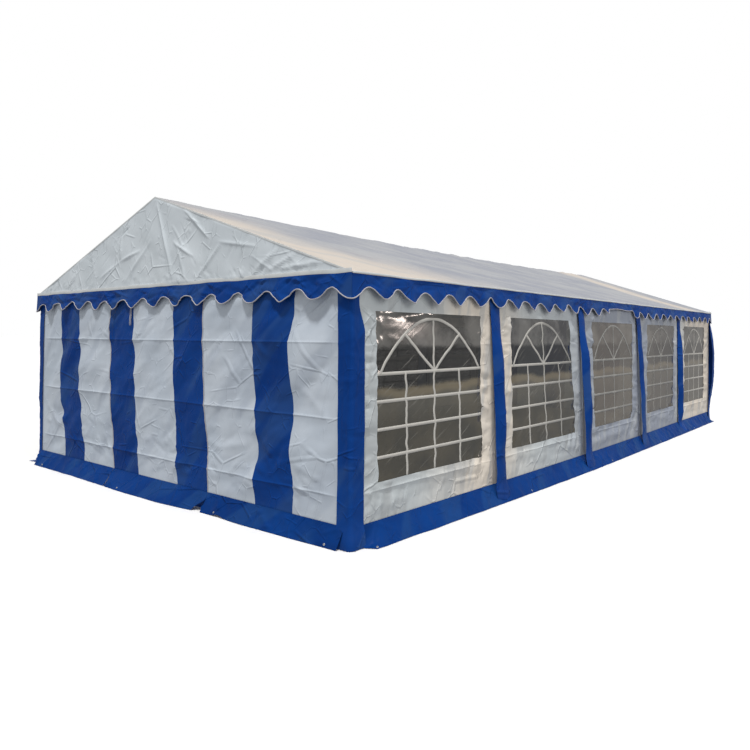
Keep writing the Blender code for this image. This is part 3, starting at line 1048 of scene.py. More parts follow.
    def make_gable(self, wall: Wall) -> None:
        """A grid whose rows run level and shorten towards the apex."""
        wide = TENT.roof_half_width
        outward = TENT.roof_half_length - TENT.half_length
        low, high = TENT.eave, TENT.ridge - self.apex[0]
        rows, columns = self.gable_grid
        share = np.linspace(0, 1, rows)[:, None]
        half = wide * (1 - share) + self.apex[1]
        along = np.linspace(-1, 1, columns)[None, :] * half
        up = np.broadcast_to(low + (high - low) * share, along.shape)
        near = smooth(0, 0.10, half - np.abs(along)) * smooth(low, low + 0.03, up)
        relief = near * self.gable_relief(wall).outward(along, up)
        above, below, step = self.gable_hem
        hem = step * smooth(low + above, low + below, up)
        points = wall.place(along, up, outward + hem + np.clip(relief, *RELIEF_LIMITS))
        flat = pairs(along, up)
        name = f"gable_sheet_{wall.label}"
        triangle = build_mesh(name, points, flat, [self.finishes.gable])
        dress(triangle, Slot.ROOF, f"gable_{wall.label}")

    def strip(self, name: str, wall: Wall, path: Array, width: float, thickness: float) -> None:
        """A flat white strip along a path on a wall."""
        strip = swept(f"{name}_{wall.label}", path, wall.outward(),
                      band_profile(width, thickness), self.finishes.hem)
        dress(strip, Slot.ROOF)

    def make_seams(self, wall: Wall) -> None:
        """Flat white seams up both rakes of a gable and along its foot, the last a little wavy."""
        outward = TENT.roof_half_length - TENT.half_length
        wide = TENT.roof_half_width
        x = np.linspace(-wide, wide, 181)
        up = TENT.eave + (TENT.ridge - TENT.eave) * (1 - np.abs(x) / wide) - self.rake_drop
        path = wall.place(x, up, np.full_like(x, outward + self.rake_proud))
        self.strip("rake_seam", wall, path, self.seam_width, self.seam_thickness)
        wave = Ripples(self.hem_seed + wall.value, 0.55, 0.0035).at(x, np.zeros_like(x))
        path = wall.place(x, TENT.eave + self.foot_rise + wave,
                          np.full_like(x, outward + self.foot_proud))
        self.strip("gable_hem", wall, path, self.hem_width, self.seam_thickness)

    def make_eave_hem(self, wall: Wall) -> None:
        """A thin white edge where the roof sheet turns down over the side valance."""
        y = np.linspace(-TENT.roof_half_length, TENT.roof_half_length, 301)
        wave = Ripples(self.hem_seed + wall.value, 0.6, 0.0025).at(y, np.zeros_like(y))
        outward = TENT.roof_half_width - TENT.half_width + self.hem_out + self.lip[0]
        path = wall.place(y, TENT.eave - self.eave_hem_drop + wave, np.full_like(y, outward))
        self.strip("eave_hem", wall, path, *self.eave_hem)

    def make(self) -> None:
        """Makes the cover, both triangles, their seams and the hems."""
        self.make_sheet()
        for wall in (Wall.FRONT, Wall.BACK):
            self.make_gable(wall)
            self.make_seams(wall)
        for wall in (Wall.RIGHT, Wall.LEFT):
            self.make_eave_hem(wall)


@dataclass
class Valance:
    """A blue scalloped strip along one roof edge, bound with piping."""
    wall: Wall
    finishes: Palette
    crest: float = 1.893
    tip: float = 1.805
    flare: float = 0.028
    rows: int = 16
    points_per_scallop: int = 40
    piping_radius: float = 0.0050
    top_gap: float = 0.002
    corner_fade: float = 0.22
    nearest: float = 0.024
    tuck_height: float = 1.900
    tuck_start: Pair = (-0.24, -0.10)
    tuck_end: Pair = (0.84, 0.70)
    edge_seed: int = 40
    cloth_seed: int = 50

    @property
    def count(self) -> int:
        """How many tongues hang from this edge."""
        return 14 if self.wall.is_end else 29

    @property
    def half(self) -> float:
        """Half the length of the roof edge."""
        return TENT.roof_half_width if self.wall.is_end else TENT.roof_half_length

    def lower_edge(self, share: Array) -> Array:
        """Height of the scalloped edge.

        A cosine whose phase is pushed ahead and back, so that tongues lean and their tips are
        narrower than the arches between them, and whose size varies from tongue to tongue. On
        the long sides a stretch of it is turned up under the hem.
        """
        rng = np.random.default_rng(self.edge_seed + self.wall.value)
        knots = np.arange(self.count + 1)
        lean = np.interp(share * self.count, knots, rng.uniform(-0.42, 0.42, self.count + 1))
        drop = np.interp(share * self.count, knots, rng.uniform(-0.012, 0.010, self.count + 1))
        turn = 2 * math.pi * self.count * share
        wave = np.cos(turn + lean * np.sin(turn))
        pointed = np.where(wave > 0, np.abs(wave) ** 1.2, -np.abs(wave) ** 0.8)
        middle, swing = (self.crest + self.tip) / 2, (self.crest - self.tip) / 2
        edge = middle - swing * pointed + drop * smooth(0, 0.5, share * self.count) * smooth(
            0, 0.5, (1 - share) * self.count)
        if not self.wall.is_end:
            along = (2 * share - 1) * self.half
            tucked = smooth(*self.tuck_start, along) * smooth(*self.tuck_end, along)
            edge = edge + tucked * (self.tuck_height + 0.006 * np.sin(9 * along) - edge)
        return edge

    def surface(self, share: Array, depth: Array) -> tuple[Array, Array]:
        """Points at a share of the length and a share of the depth, with their flat places.

        Outward: a flare that grows with the drop, soft curls of the tongues, and level puckers
        and creases nearer the hem. It all fades towards the corners, where two strips meet.
        """
        low = self.lower_edge(share)
        top = TENT.eave - self.top_gap
        up = top + (low - top) * depth
        fall = (top - up) / (top - self.tip)
        plain = (2 * share - 1) * self.half
        inside = smooth(0, self.corner_fade, self.half - np.abs(plain))
        spread = (0.3 + 0.7 * inside) * self.flare * fall ** 1.1
        along = plain + np.sign(plain) * 0.3 * self.flare * fall * (1 - inside)
        seed = self.cloth_seed + self.wall.value
        curl = Ripples(seed, 0.36, 0.012, 0, 12, octaves=2).at(along, up)
        puckers = Ripples(seed + 10, 0.20, 0.0050, 90, 32).at(along, up)
        creases = scatter(seed + 20, round(40 * self.half), (-self.half, 1.84), (self.half, 1.99),
                          (0.08, 0.38), (-40, 40), 0.0125 if self.wall.is_end else 0.0060,
                          (0.006, 0.012))
        folds = Relief(creases=creases).outward(along, up)
        outward = (TENT.roof_half_length - TENT.half_length + 0.001 + spread
                   + inside * (fall ** 1.5 * curl + smooth(0, 0.2, depth) * (puckers + folds)))
        outward = np.maximum(outward, self.nearest)
        flat = pairs(along, up)
        return self.wall.place(along, up, outward), flat

    def make(self) -> None:
        """Makes the strip and the piping on its edge."""
        share = np.linspace(0, 1, self.count * self.points_per_scallop + 1)
        depth = np.linspace(1, 0, self.rows)[:, None]
        points, flat = self.surface(share[None, :], depth)
        label = self.wall.label
        strip = build_mesh(f"valance_cloth_{label}", points, flat, [self.finishes.blue])
        dress(strip, Slot.BLUE, f"valance_{label}")
        edge = points[0]
        away = unit(np.cross(np.gradient(edge, axis=0), points[1] - edge))
        piping = swept(f"valance_piping_{label}", edge, away, round_profile(self.piping_radius),
                       self.finishes.binding)
        dress(piping, Slot.WHITE)
        depth_mean = float(TENT.eave - self.lower_edge(share).mean())


@dataclass(frozen=True)
class Sway:
    """How far the seams between the stripes hang beside their plumb lines, in millimetres.

    One row for each height and one column for each seam; nothing sways at the corner legs.
    Half of it is taken as the cloth's swell, the rest as a shift along the wall.
    """
    seams: tuple[float, ...] = (-2.37, -1.90, -1.46, -0.80, -0.34, 0.34, 0.80, 1.46, 1.90, 2.37)
    heights: tuple[float, ...] = (0.17, 0.35, 0.45, 0.55, 0.65, 0.75, 0.85, 0.95, 1.05, 1.15,
                                  1.25, 1.35, 1.45, 1.55, 1.72, 1.86)
    shifts: tuple[tuple[int, ...], ...] = (
        (60, 66, 36, 42, 24, 27, -12, -8),
        (55, 52, 18, 20, -3, 30, -22, 8),
        (14, -8, 2, 6, 1, 22, -10, -14),
        (-6, -12, -12, -8, -6, 6, 24, -40),
        (8, -24, -26, -18, -13, -4, 19, -47),
        (-50, -8, -38, -28, -24, -18, -2, -33),
        (-62, -37, -44, -37, -38, -25, -7, -2),
        (-49, -70, -44, -45, -46, -36, -13, 8),
        (-43, -76, -56, -50, -53, -42, -14, -3),
        (-39, -92, -66, -58, -55, -47, -25, -20),
        (-42, -80, -58, -54, -58, -55, -35, -41),
        (-46, -56, -54, -58, -63, -66, -43, -63),
        (-50, -54, -64, -74, -63, -64, -48, -72),
        (-53, -55, -82, -74, -63, -55, -50, -50),
        (-53, -66, -64, -58, -57, -64, -53, 14),
        (-53, -66, -60, -56, -57, -64, -53, 20),
    )
    lens: Pair = (5.67, 3.53)
    swell_share: float = 0.5

    def apart(self, along: Array, up: Array) -> tuple[Array, Array]:
        """Splits the sway into a shift along the wall and a swell outward.

        Args:
            along: Places along the wall.
            up: Heights.

        Returns:
            The shift and the swell, in metres.
        """
        along, up = np.broadcast_arrays(along, up)
        table = np.pad(np.array(self.shifts) / 1000, ((0, 0), (1, 1)))
        columns = through(self.heights, table.T, np.repeat(up[..., None], len(self.seams), -1))
        sway = through(self.seams, columns, along)
        slant = (self.lens[0] - along) / self.lens[1]
        swell = np.maximum(-self.swell_share * sway / slant, -0.004)
        return sway + swell * slant, swell


@dataclass
class EndWall:
    """A gable wall of blue and white widths: two fixed panels and a door between two zips."""
    wall: Wall
    finishes: Palette
    stripe_edges: tuple[float, ...] = (0.34, 0.80, 1.46, 1.90)
    packing_folds: tuple[float, ...] = (1.49, 0.93, 0.37)
    step: float = 0.02
    zip_width: float = 0.012
    sway: Sway = Sway()
    fold_ridge: Pair = (0.0060, 0.010)
    fold_swell: Pair = (0.005, 0.06)
    leg_free: Pair = (2.43, 2.22)
    foot_free: Pair = (0.165, 0.34)
    beam_free: float = 1.82
    door_edge: float = 0.80
    pull_place: float = -0.378
    pull_half: float = 0.010
    pull_span: Pair = (1.63, 1.86)
    cloth_seed: int = 100
    drapes: Table = (
        (1.95, 1.86, 1.48, 1.52, 0.010, 0.035), (1.50, 1.50, 1.66, 1.36, 0.012, 0.022),
        (1.66, 1.36, 1.90, 1.66, 0.010, 0.030), (1.30, 1.30, 0.90, 0.98, 0.007, 0.030),
        (0.70, 1.55, 0.40, 1.20, 0.006, 0.030), (0.20, 1.75, -0.34, 1.42, 0.008, 0.035),
        (-0.10, 1.30, -0.60, 0.98, 0.007, 0.030), (-0.50, 1.80, -0.95, 1.52, 0.009, 0.030),
        (-0.90, 1.40, -1.60, 1.05, 0.008, 0.040), (-1.40, 1.80, -1.90, 1.45, 0.008, 0.040),
        (-1.70, 1.40, -2.30, 0.95, 0.008, 0.040), (-1.60, 0.75, -2.20, 0.38, 0.010, 0.030),
        (-1.95, 0.50, -2.35, 0.75, 0.008, 0.025), (1.40, 0.80, 1.85, 0.45, 0.008, 0.030),
        (1.48, 0.62, 1.90, 0.90, 0.007, 0.025), (1.92, 1.20, 2.30, 0.90, 0.006, 0.030),
        (1.95, 0.55, 2.30, 0.42, 0.006, 0.018), (0.85, 0.55, 1.40, 0.66, 0.006, 0.018),
    )

    def relief(self) -> Relief:
        """Slanting drapes, swellings, and small creases that crowd towards the foot."""
        seed = self.cloth_seed + self.wall.value
        bulges = (
            Bulge((1.70, 1.60), (0.16, 0.14), 0.016),
            Bulge((1.60, 0.90), (0.14, 0.10), 0.008),
            Bulge((-0.20, 1.62), (0.18, 0.16), 0.008),
            Bulge((-1.10, 1.20), (0.25, 0.16), 0.010),
            Bulge((-1.90, 1.05), (0.20, 0.20), 0.010),
        )
        low = scatter(seed, 120, (-2.3, 0.20), (2.3, 0.62), (0.08, 0.36), (-75, 75), 0.0085,
                      (0.007, 0.014))
        high = scatter(seed + 1, 100, (-2.3, 0.6), (2.3, 1.85), (0.12, 0.60), (25, 70), 0.0070,
                       (0.008, 0.020))
        waves = (
            Ripples(seed + 2, 0.42, 0.0085, lean=-42, spread=14, octaves=2),
            Ripples(seed + 3, 0.16, 0.0018, lean=-40, spread=60, octaves=2),
        )
        return Relief(waves, drawn(self.drapes) + low + high, bulges)

    def surface(self, along: Array, up: Array) -> Array:
        """Points of the wall.

        Outward: the relief, the sway's swell, and a sharp ridge on a soft swelling at each
        packing fold, faded out at the corner legs, at the beam and where the skirt starts.
        """
        shift, swell = self.sway.apart(along, up)
        held = (smooth(*self.leg_free, np.abs(along)) * smooth(*self.foot_free, up)
                * smooth(TENT.wall_top, self.beam_free, up))
        (ridge, narrow), (bulge, wide) = self.fold_ridge, self.fold_swell
        folds = sum(ridge * np.exp(-np.abs(up - height) / narrow)
                    + bulge * np.exp(-((up - height) / wide) ** 2)
                    for height in self.packing_folds)
        loose = self.relief().outward(along, up) + folds
        outward = held * (swell + np.clip(loose, *RELIEF_LIMITS)) - CLOTH_BEHIND
        return self.wall.place(along + shift, up, outward)

    def panel(self, node: str) -> None:
        """One panel on the span of its CAD node, painted by stripe."""
        low, high = self.wall.span(node)
        marks = [side * edge for edge in self.stripe_edges for side in (-1, 1)]
        inner = [mark for mark in marks if low + 0.02 < mark < high - 0.02]
        a = graded(low, high, self.step, inner, 0.006, 1)
        b = graded(TENT.wall_bottom, TENT.wall_top, self.step, self.packing_folds, 0.005, 4)
        along, up = np.meshgrid(a, b)
        middle = np.abs((a[:-1] + a[1:]) / 2)
        stripe = np.searchsorted(self.stripe_edges, middle) % 2
        paint = np.broadcast_to(stripe, (len(b) - 1, len(a) - 1))
        cloth = build_mesh(f"{node}_cloth", self.surface(along, up), pairs(along, up),
                           [self.finishes.white, self.finishes.blue], paint=paint)
        dress(cloth, Slot.WHITE, node)

    def zips(self) -> None:
        """The door's two zips, each a white tape from under the valance to the skirt's edge."""
        away = self.wall.outward()
        up = graded(0.03, TENT.wall_top - 0.01, 0.02)
        for side in Side:
            path = self.surface(np.full_like(up, side.value * self.door_edge), up)
            tape = swept(f"zip_{self.wall.label}_{side.label}", path + 0.0012 * away, away,
                         tape_profile(self.zip_width, 0.003), self.finishes.binding)
            dress(tape, Slot.WHITE)

    def pull_tape(self) -> None:
        """A short loop of tape that hangs from the top of the door."""
        up = np.linspace(*self.pull_span, 14)
        away = self.wall.outward()
        lift = 0.010 + 0.008 * smooth(1.75, self.pull_span[0], up)
        for side in Side:
            along = self.pull_place + side.value * self.pull_half + 0.006 * np.sin(9 * up)
            points = self.surface(along, up) + lift[:, None] * away
            tape = swept(f"pull_tape_{self.wall.label}_{side.label}", points, away,
                         tape_profile(0.009, 0.002), self.finishes.binding)
            dress(tape, Slot.WHITE)

    def make(self) -> None:
        """Makes the three panels, the zips and the pull tape."""
        label = self.wall.label
        for node in (f"{label}_wall_left", f"{label}_door", f"{label}_wall_right"):
            self.panel(node)
        self.zips()
        self.pull_tape()


@dataclass
class WindowBay:
    """A side panel with clear film behind its opening and white bars on the film."""
    wall: Wall
    number: int
    finishes: Palette
    half_window: float = 0.73
    bottom: float = 0.445
    top: float = 1.725
    film_lap: float = 0.018
    step: float = 0.02
    bar_width: float = 0.026
    bar_thickness: float = 0.0016
    arch_base: float = 1.253
    arch_height: float = 0.43
    arch_half: float = 0.70
    bar_heights: tuple[float, ...] = (1.044, 0.834, 0.625)
    post_offset: float = 0.375
    spoke: Pair = (0.39, 0.31)
    seam_height: float = 0.388
    crease_height: float = 1.470
    film_behind: float = 0.0022
    film_grid: tuple[int, int] = (76, 68)
    bars_behind: float = 0.0014
    bar_stations: int = 61
    strap_free: Pair = (0.95, 0.84)
    foot_free: Pair = (0.17, 0.30)
    tube_free: float = 1.84
    relief_limits: Pair = (-0.018, 0.022)
    lean_share: float = 0.5
    first_seed: int = 200
    pulls: Table = (
        (0.00, 0.02, 0.03, 0.02),
        (0.04, -0.04, 0.06, 0.05),
        (0.07, 0.05, 0.10, -0.06),
        (0.15, 0.02, 0.05, -0.06),
        (0.06, -0.11, 0.02, -0.15),
    )

    @property
    def middle(self) -> float:
        """Along-wall place of the bay's middle."""
        return TENT.bent(self.number) - TENT.bay / 2

    @property
    def seed(self) -> int:
        """Start of this bay's random draws."""
        return self.first_seed + 10 * self.number + self.wall.value

    def relief(self) -> Relief:
        """Level folds beside the opening, slanting ones at its lower corners, and a seam."""
        m = self.middle
        waves = (
            Ripples(self.seed, 0.26, 0.0075, lean=88, spread=14, octaves=3),
            Ripples(self.seed + 1, 0.9, 0.006, lean=0, spread=60, octaves=1),
            Ripples(self.seed + 8, 0.15, 0.0016, lean=60, spread=60, octaves=2),
        )
        level = drawn(((m - 1.1, self.seam_height, m + 1.1, self.seam_height, 0.0060, 0.006),
                       (m - 1.1, self.crease_height, m + 1.1, self.crease_height, 0.0055, 0.008)))
        corner = scatter(self.seed + 2, 9, (m + 0.45, 0.24), (m + 0.86, 0.50), (0.16, 0.40),
                         (48, 78), 0.017, (0.008, 0.018))
        corner += scatter(self.seed + 3, 6, (m - 0.88, 0.26), (m - 0.55, 0.44), (0.12, 0.30),
                          (60, 130), 0.011, (0.008, 0.018))
        low = scatter(self.seed + 4, 26, (m - 0.9, 0.2), (m + 0.9, 0.36), (0.08, 0.26), (65, 115),
                      0.010, (0.008, 0.014))
        sides = ()
        for seed, near, far in ((self.seed + 5, -0.92, -0.76), (self.seed + 6, 0.76, 0.92)):
            sides += scatter(seed, 18, (m + near, 0.5), (m + far, 1.8), (0.08, 0.24), (-25, 15),
                             0.015, (0.007, 0.013))
        return Relief(waves, level + corner + low + sides)

    def shape(self, along: Array, up: Array) -> tuple[Array, Array]:
        """Sideways and outward of the panel and its film.

        Outward: a share of the wall's lean, plus the relief, which fades out under the straps,
        at the eave tube and behind the skirt. Sideways: the pull on the window's corners, and
        waves that make the opening's edges and the upright bars wriggle.
        """
        off = np.abs(along - self.middle)
        held = (smooth(*self.strap_free, off) * smooth(*self.foot_free, up)
                * smooth(TENT.wall_top, self.tube_free, up))
        inset = np.minimum(self.half_window - off,
                           np.minimum(up - self.bottom, self.top - up))
        flatter = 1 - 0.95 * smooth(0.0, 0.08, inset)
        relief = np.clip(self.relief().outward(along, up), *self.relief_limits)
        outward = (held * flatter * relief - CLOTH_BEHIND
                   + self.lean_share * side_lean(along, up))
        top_left, top_right, low_left, low_right = self.pulls[self.number - 1]
        height = np.clip((self.top - up) / (self.top - self.bottom), -0.2, 1.15)
        left = top_left + (low_left - top_left) * height
        right = top_right + (low_right - top_right) * height
        across = (along - self.middle) / self.half_window
        share = np.clip((across + 1) / 2, 0, 1)
        pull = (left + (right - left) * share) * smooth(0.985, self.half_window, off)
        wriggle = Ripples(self.seed + 7, 0.20, 0.0075, 90, 14, octaves=2).at(along, up)
        return pull + held * wriggle, outward

    def surface(self, along: Array, up: Array, offset: float = 0.0) -> Array:
        """Points of the panel, or of what lies a given distance outside it."""
        sideways, outward = self.shape(along, up)
        return self.wall.place(along + sideways, up, outward + offset)

    def panel(self) -> None:
        """The white cloth with its opening."""
        node = f"panel_{self.wall.label}_{self.number}"
        low, high = self.wall.span(node)
        left, right = self.middle - self.half_window, self.middle + self.half_window
        a = graded(low, high, self.step, (left, right), 0.008, 1)
        b = graded(TENT.wall_bottom, TENT.wall_top, self.step,
                   (self.bottom, self.top, self.seam_height, self.crease_height), 0.005, 2)
        along, up = np.meshgrid(a, b)
        in_a = ((a[:-1] + a[1:]) / 2 > left) & ((a[:-1] + a[1:]) / 2 < right)
        in_b = ((b[:-1] + b[1:]) / 2 > self.bottom) & ((b[:-1] + b[1:]) / 2 < self.top)
        keep = ~(in_b[:, None] & in_a[None, :])
        cloth = build_mesh(f"{node}_cloth", self.surface(along, up), pairs(along, up),
                           [self.finishes.side], keep=keep)
        dress(cloth, Slot.WHITE, node)
        tube = f"eave_tube_{self.wall.label}"

    def film(self) -> None:
        """The film laps behind the panel all round its opening."""
        reach = self.half_window + self.film_lap
        columns, rows = self.film_grid
        a = np.linspace(self.middle - reach, self.middle + reach, columns)
        b = np.linspace(self.bottom - self.film_lap, self.top + self.film_lap, rows)
        along, up = np.meshgrid(a, b)
        name = f"film_{self.wall.label}_{self.number}"
        sheet = build_mesh(name, self.surface(along, up, -self.film_behind),
                           pairs(along, up), [self.finishes.film])
        dress(sheet, Slot.FILM, f"window_{self.wall.label}_{self.number}")
        f"panel_{self.wall.label}_{self.number}_cloth"

    def bar_paths(self) -> list[Array]:
        """Along and up of each bar's centre line, with the arch as a parabola."""
        m, edge, count = self.middle, self.half_window, self.bar_stations
        share = np.linspace(0, 1, count)
        arch = np.linspace(-1, 1, count)
        lines = [np.stack([m + self.arch_half * arch,
                           self.arch_base + self.arch_height * (1 - arch ** 2)], -1)]
        for height in (self.arch_base,) + self.bar_heights:
            lines.append(np.stack([m - edge + 2 * edge * share, np.full(count, height)], -1))
        for offset in (-self.post_offset, 0.0, self.post_offset):
            top = self.arch_base + (self.arch_height if offset == 0 else 0)
            lines.append(np.stack([np.full(count, m + offset),
                                   self.bottom + (top - self.bottom) * share], -1))
        for side in (-1, 1):
            lines.append(np.stack([m + side * self.spoke[0] * share,
                                   self.arch_base + self.spoke[1] * share], -1))
        return lines

    def bars(self) -> None:
        """All bars of the window in one piece, each a thin band that follows the film."""
        lines = np.stack(self.bar_paths())
        path = self.surface(lines[..., 0], lines[..., 1], -self.bars_behind)
        away = np.broadcast_to(self.wall.outward(), path.shape)
        bars = swept(f"window_bars_{self.wall.label}_{self.number}", path, away,
                     tape_profile(self.bar_width, self.bar_thickness), self.finishes.bars)
        dress(bars, Slot.WHITE)

    def make(self) -> None:
        """Makes the panel, its film and the bars."""
        self.panel()
        self.film()
        self.bars()


@dataclass
class LegStrap:
    """A blue strap over a leg, tucked under the valance and spread over the skirt at its foot."""
    wall: Wall
    number: int
    finishes: Palette
    columns: int = 17
    rows: int = 130
    crowns: tuple[float, ...] = (0.058, 0.058, 0.026, 0.058)
    crown_feet: tuple[Pair, ...] = ((0.28, 0.70), (0.28, 0.70), (0.28, 0.70), (0.10, 0.34))
    foot_widening: float = 0.40
    foot_edge: float = 0.030
    bend: Pair = (0.885, 0.185)
    foot_height: float = 0.018
    lift: float = 0.0070
    length: float = 2.0
    cut_length: float = 1.98
    round_end: Pair = (0.968, 0.032)
    first_seed: int = 400

    @property
    def centre(self) -> float:
        """Along-wall place of the leg."""
        return TENT.bent(self.number)

    def path(self, share: Array) -> tuple[Array, Array]:
        """Outward and up from the valance down, at shares of the strap's length.

        The bend is a share of the length and a height. The strap leans out with the wall down
        to it, and from there a soft curve takes it down the skirt's slope to just short of the
        skirt's edge.
        """
        bend, height = self.bend
        upper = np.clip(share / bend, 0, 1)
        lower = np.clip((share - bend) / (1 - bend), 0, 1)
        up = TENT.wall_top + (height - TENT.wall_top) * upper
        up = up - (height - self.foot_height) * lower ** 0.92
        reach = side_reach(self.centre) - self.foot_edge
        start = side_lean(self.centre, height) + self.lift
        outward = self.lift + side_lean(self.centre, up)
        outward = np.where(lower > 0, start + (reach - start) * lower ** 1.4, outward)
        return outward, up

    def make(self) -> None:
        """Widths narrow to a round end, and the middle stands over the leg."""
        share = np.linspace(0, 1, self.rows)[:, None]
        side = np.linspace(-1, 1, self.columns)[None, :]
        outward, up = self.path(share)
        end = np.clip((share - self.round_end[0]) / self.round_end[1], 0, 1)
        half = TENT.strap_width / 2 * (1 + self.foot_widening * smooth(0.84, 0.95, share))
        half = half * np.sqrt(np.clip(1 - 0.86 * end ** 2, 0.05, 1))
        along = self.centre + side * half
        seed = self.first_seed + 10 * self.number + self.wall.value
        wave = Ripples(seed, 0.5, 0.0030, lean=75, spread=30).at(along, up)
        creases = scatter(seed + 1, 22, (self.centre - 0.08, 0.05), (self.centre + 0.08, 1.9),
                          (0.06, 0.24), (-60, 60), 0.0045, (0.006, 0.014))
        foot = self.crown_feet[self.number - 1]
        over_leg = 0.2 + 0.8 * smooth(1.72, 1.30, up) * smooth(*foot, up)
        rise = self.crowns[self.number - 1] * smooth(0, 0.12, share) * over_leg * (1 - side ** 2)
        lift = rise + wave + Relief(creases=creases).outward(along, up)
        lift = np.maximum(lift, -0.002) + 0.006 * smooth(0.86, 0.96, share)
        shape = self.wall.place(along, up + 0.5 * lift * smooth(0.88, 0.95, share),
                                outward + lift)
        flat = pairs(along, -share * self.length)
        name = f"strap_cloth_{self.wall.label}_{self.number}"
        strap = build_mesh(name, shape[::-1], flat[::-1], [self.finishes.blue])
        dress(strap, Slot.BLUE, f"strap_{self.wall.label}_{self.number}")
        f"eave_tube_{self.wall.label}"
        f"skirt_cloth_{self.wall.label}"


@dataclass
class CornerStrap:
    """A blue angle of fabric round a corner leg, with a rounded fold.

    Each arm has its width at the top and at the foot.
    """
    end: Wall
    side: Side
    finishes: Palette
    end_arm: Pair = (0.13, 0.13)
    side_arm: Pair = (0.075, 0.135)
    belly: Pair = (0.010, 0.004)
    round_radius: float = 0.022
    foot_splay: float = 0.022
    lift: float = 0.0065
    first_seed: int = 500

    @property
    def label(self) -> str:
        """The corner's name."""
        return f"{self.end.label}_{self.side.label}"

    def make(self) -> None:
        """Carries an L with a rounded corner up the leg; it swells and splays at its foot."""
        side, front = self.side.value, 1 if self.end is Wall.BACK else -1
        up = graded(0.003, TENT.wall_top, 0.016)[:, None]
        girth = np.linspace(-1, 1, 35)[None, :]
        radius = self.round_radius
        arc = math.pi / 2 * radius
        height = smooth(1.55, 1.80, up)
        fall = 1 - up / TENT.wall_top
        end_arm = self.end_arm[1] + (self.end_arm[0] - self.end_arm[1]) * (1 - fall)
        side_arm = self.side_arm[1] + (self.side_arm[0] - self.side_arm[1]) * height
        arm = np.where(girth < 0, end_arm, side_arm)
        run = girth * (arm - radius + arc / 2)
        turn = np.clip(run / arc + 0.5, 0, 1) * math.pi / 2
        past = np.maximum(np.abs(run) - arc / 2, 0) * np.sign(run)
        p = -radius + radius * np.sin(turn) + np.minimum(past, 0)
        q = -radius + radius * np.cos(turn) - np.maximum(past, 0)
        bulge = np.sin(math.pi * np.clip(fall, 0, 1) ** 0.85) ** 1.5
        splay = self.foot_splay * smooth(0.20, 0.0, up)
        seed = self.first_seed + self.end.value + side
        wave = Ripples(seed, 0.6, 0.0030, lean=80, spread=25).at(run, up)
        long_folds = scatter(seed + 2, 8, (-0.10, 0.3), (0.10, 1.7), (0.5, 1.2), (84, 96), 0.005,
                             (0.008, 0.016))
        creases = scatter(seed + 1, 30, (-0.12, 0.03), (0.12, 1.9), (0.08, 0.3), (-70, 70),
                          0.0050, (0.006, 0.014))
        folds = Relief(creases=creases + long_folds).outward(run, up)
        grow = self.lift + np.maximum(wave + folds, -0.003) + splay
        x = side * (TENT.half_width + p + grow * np.sin(turn) + self.belly[0] * bulge)
        y = front * (TENT.half_length + q + grow * np.cos(turn) + self.belly[1] * bulge)
        points = np.stack(np.broadcast_arrays(x, y, up), axis=-1)
        if side * front > 0:
            points = points[:, ::-1]
        flat = pairs(run, up)
        strap = build_mesh(f"corner_cloth_{self.label}", points, flat, [self.finishes.blue])
        dress(strap, Slot.BLUE, f"corner_strap_{self.label}")


CORNER_SHAPES: dict[tuple[Wall, Side], dict[str, Pair]] = {
    (Wall.BACK, Side.RIGHT): {"belly": (0.080, 0.050), "end_arm": (0.13, 0.11)},
    (Wall.FRONT, Side.LEFT): {"end_arm": (0.13, 0.075)},
}


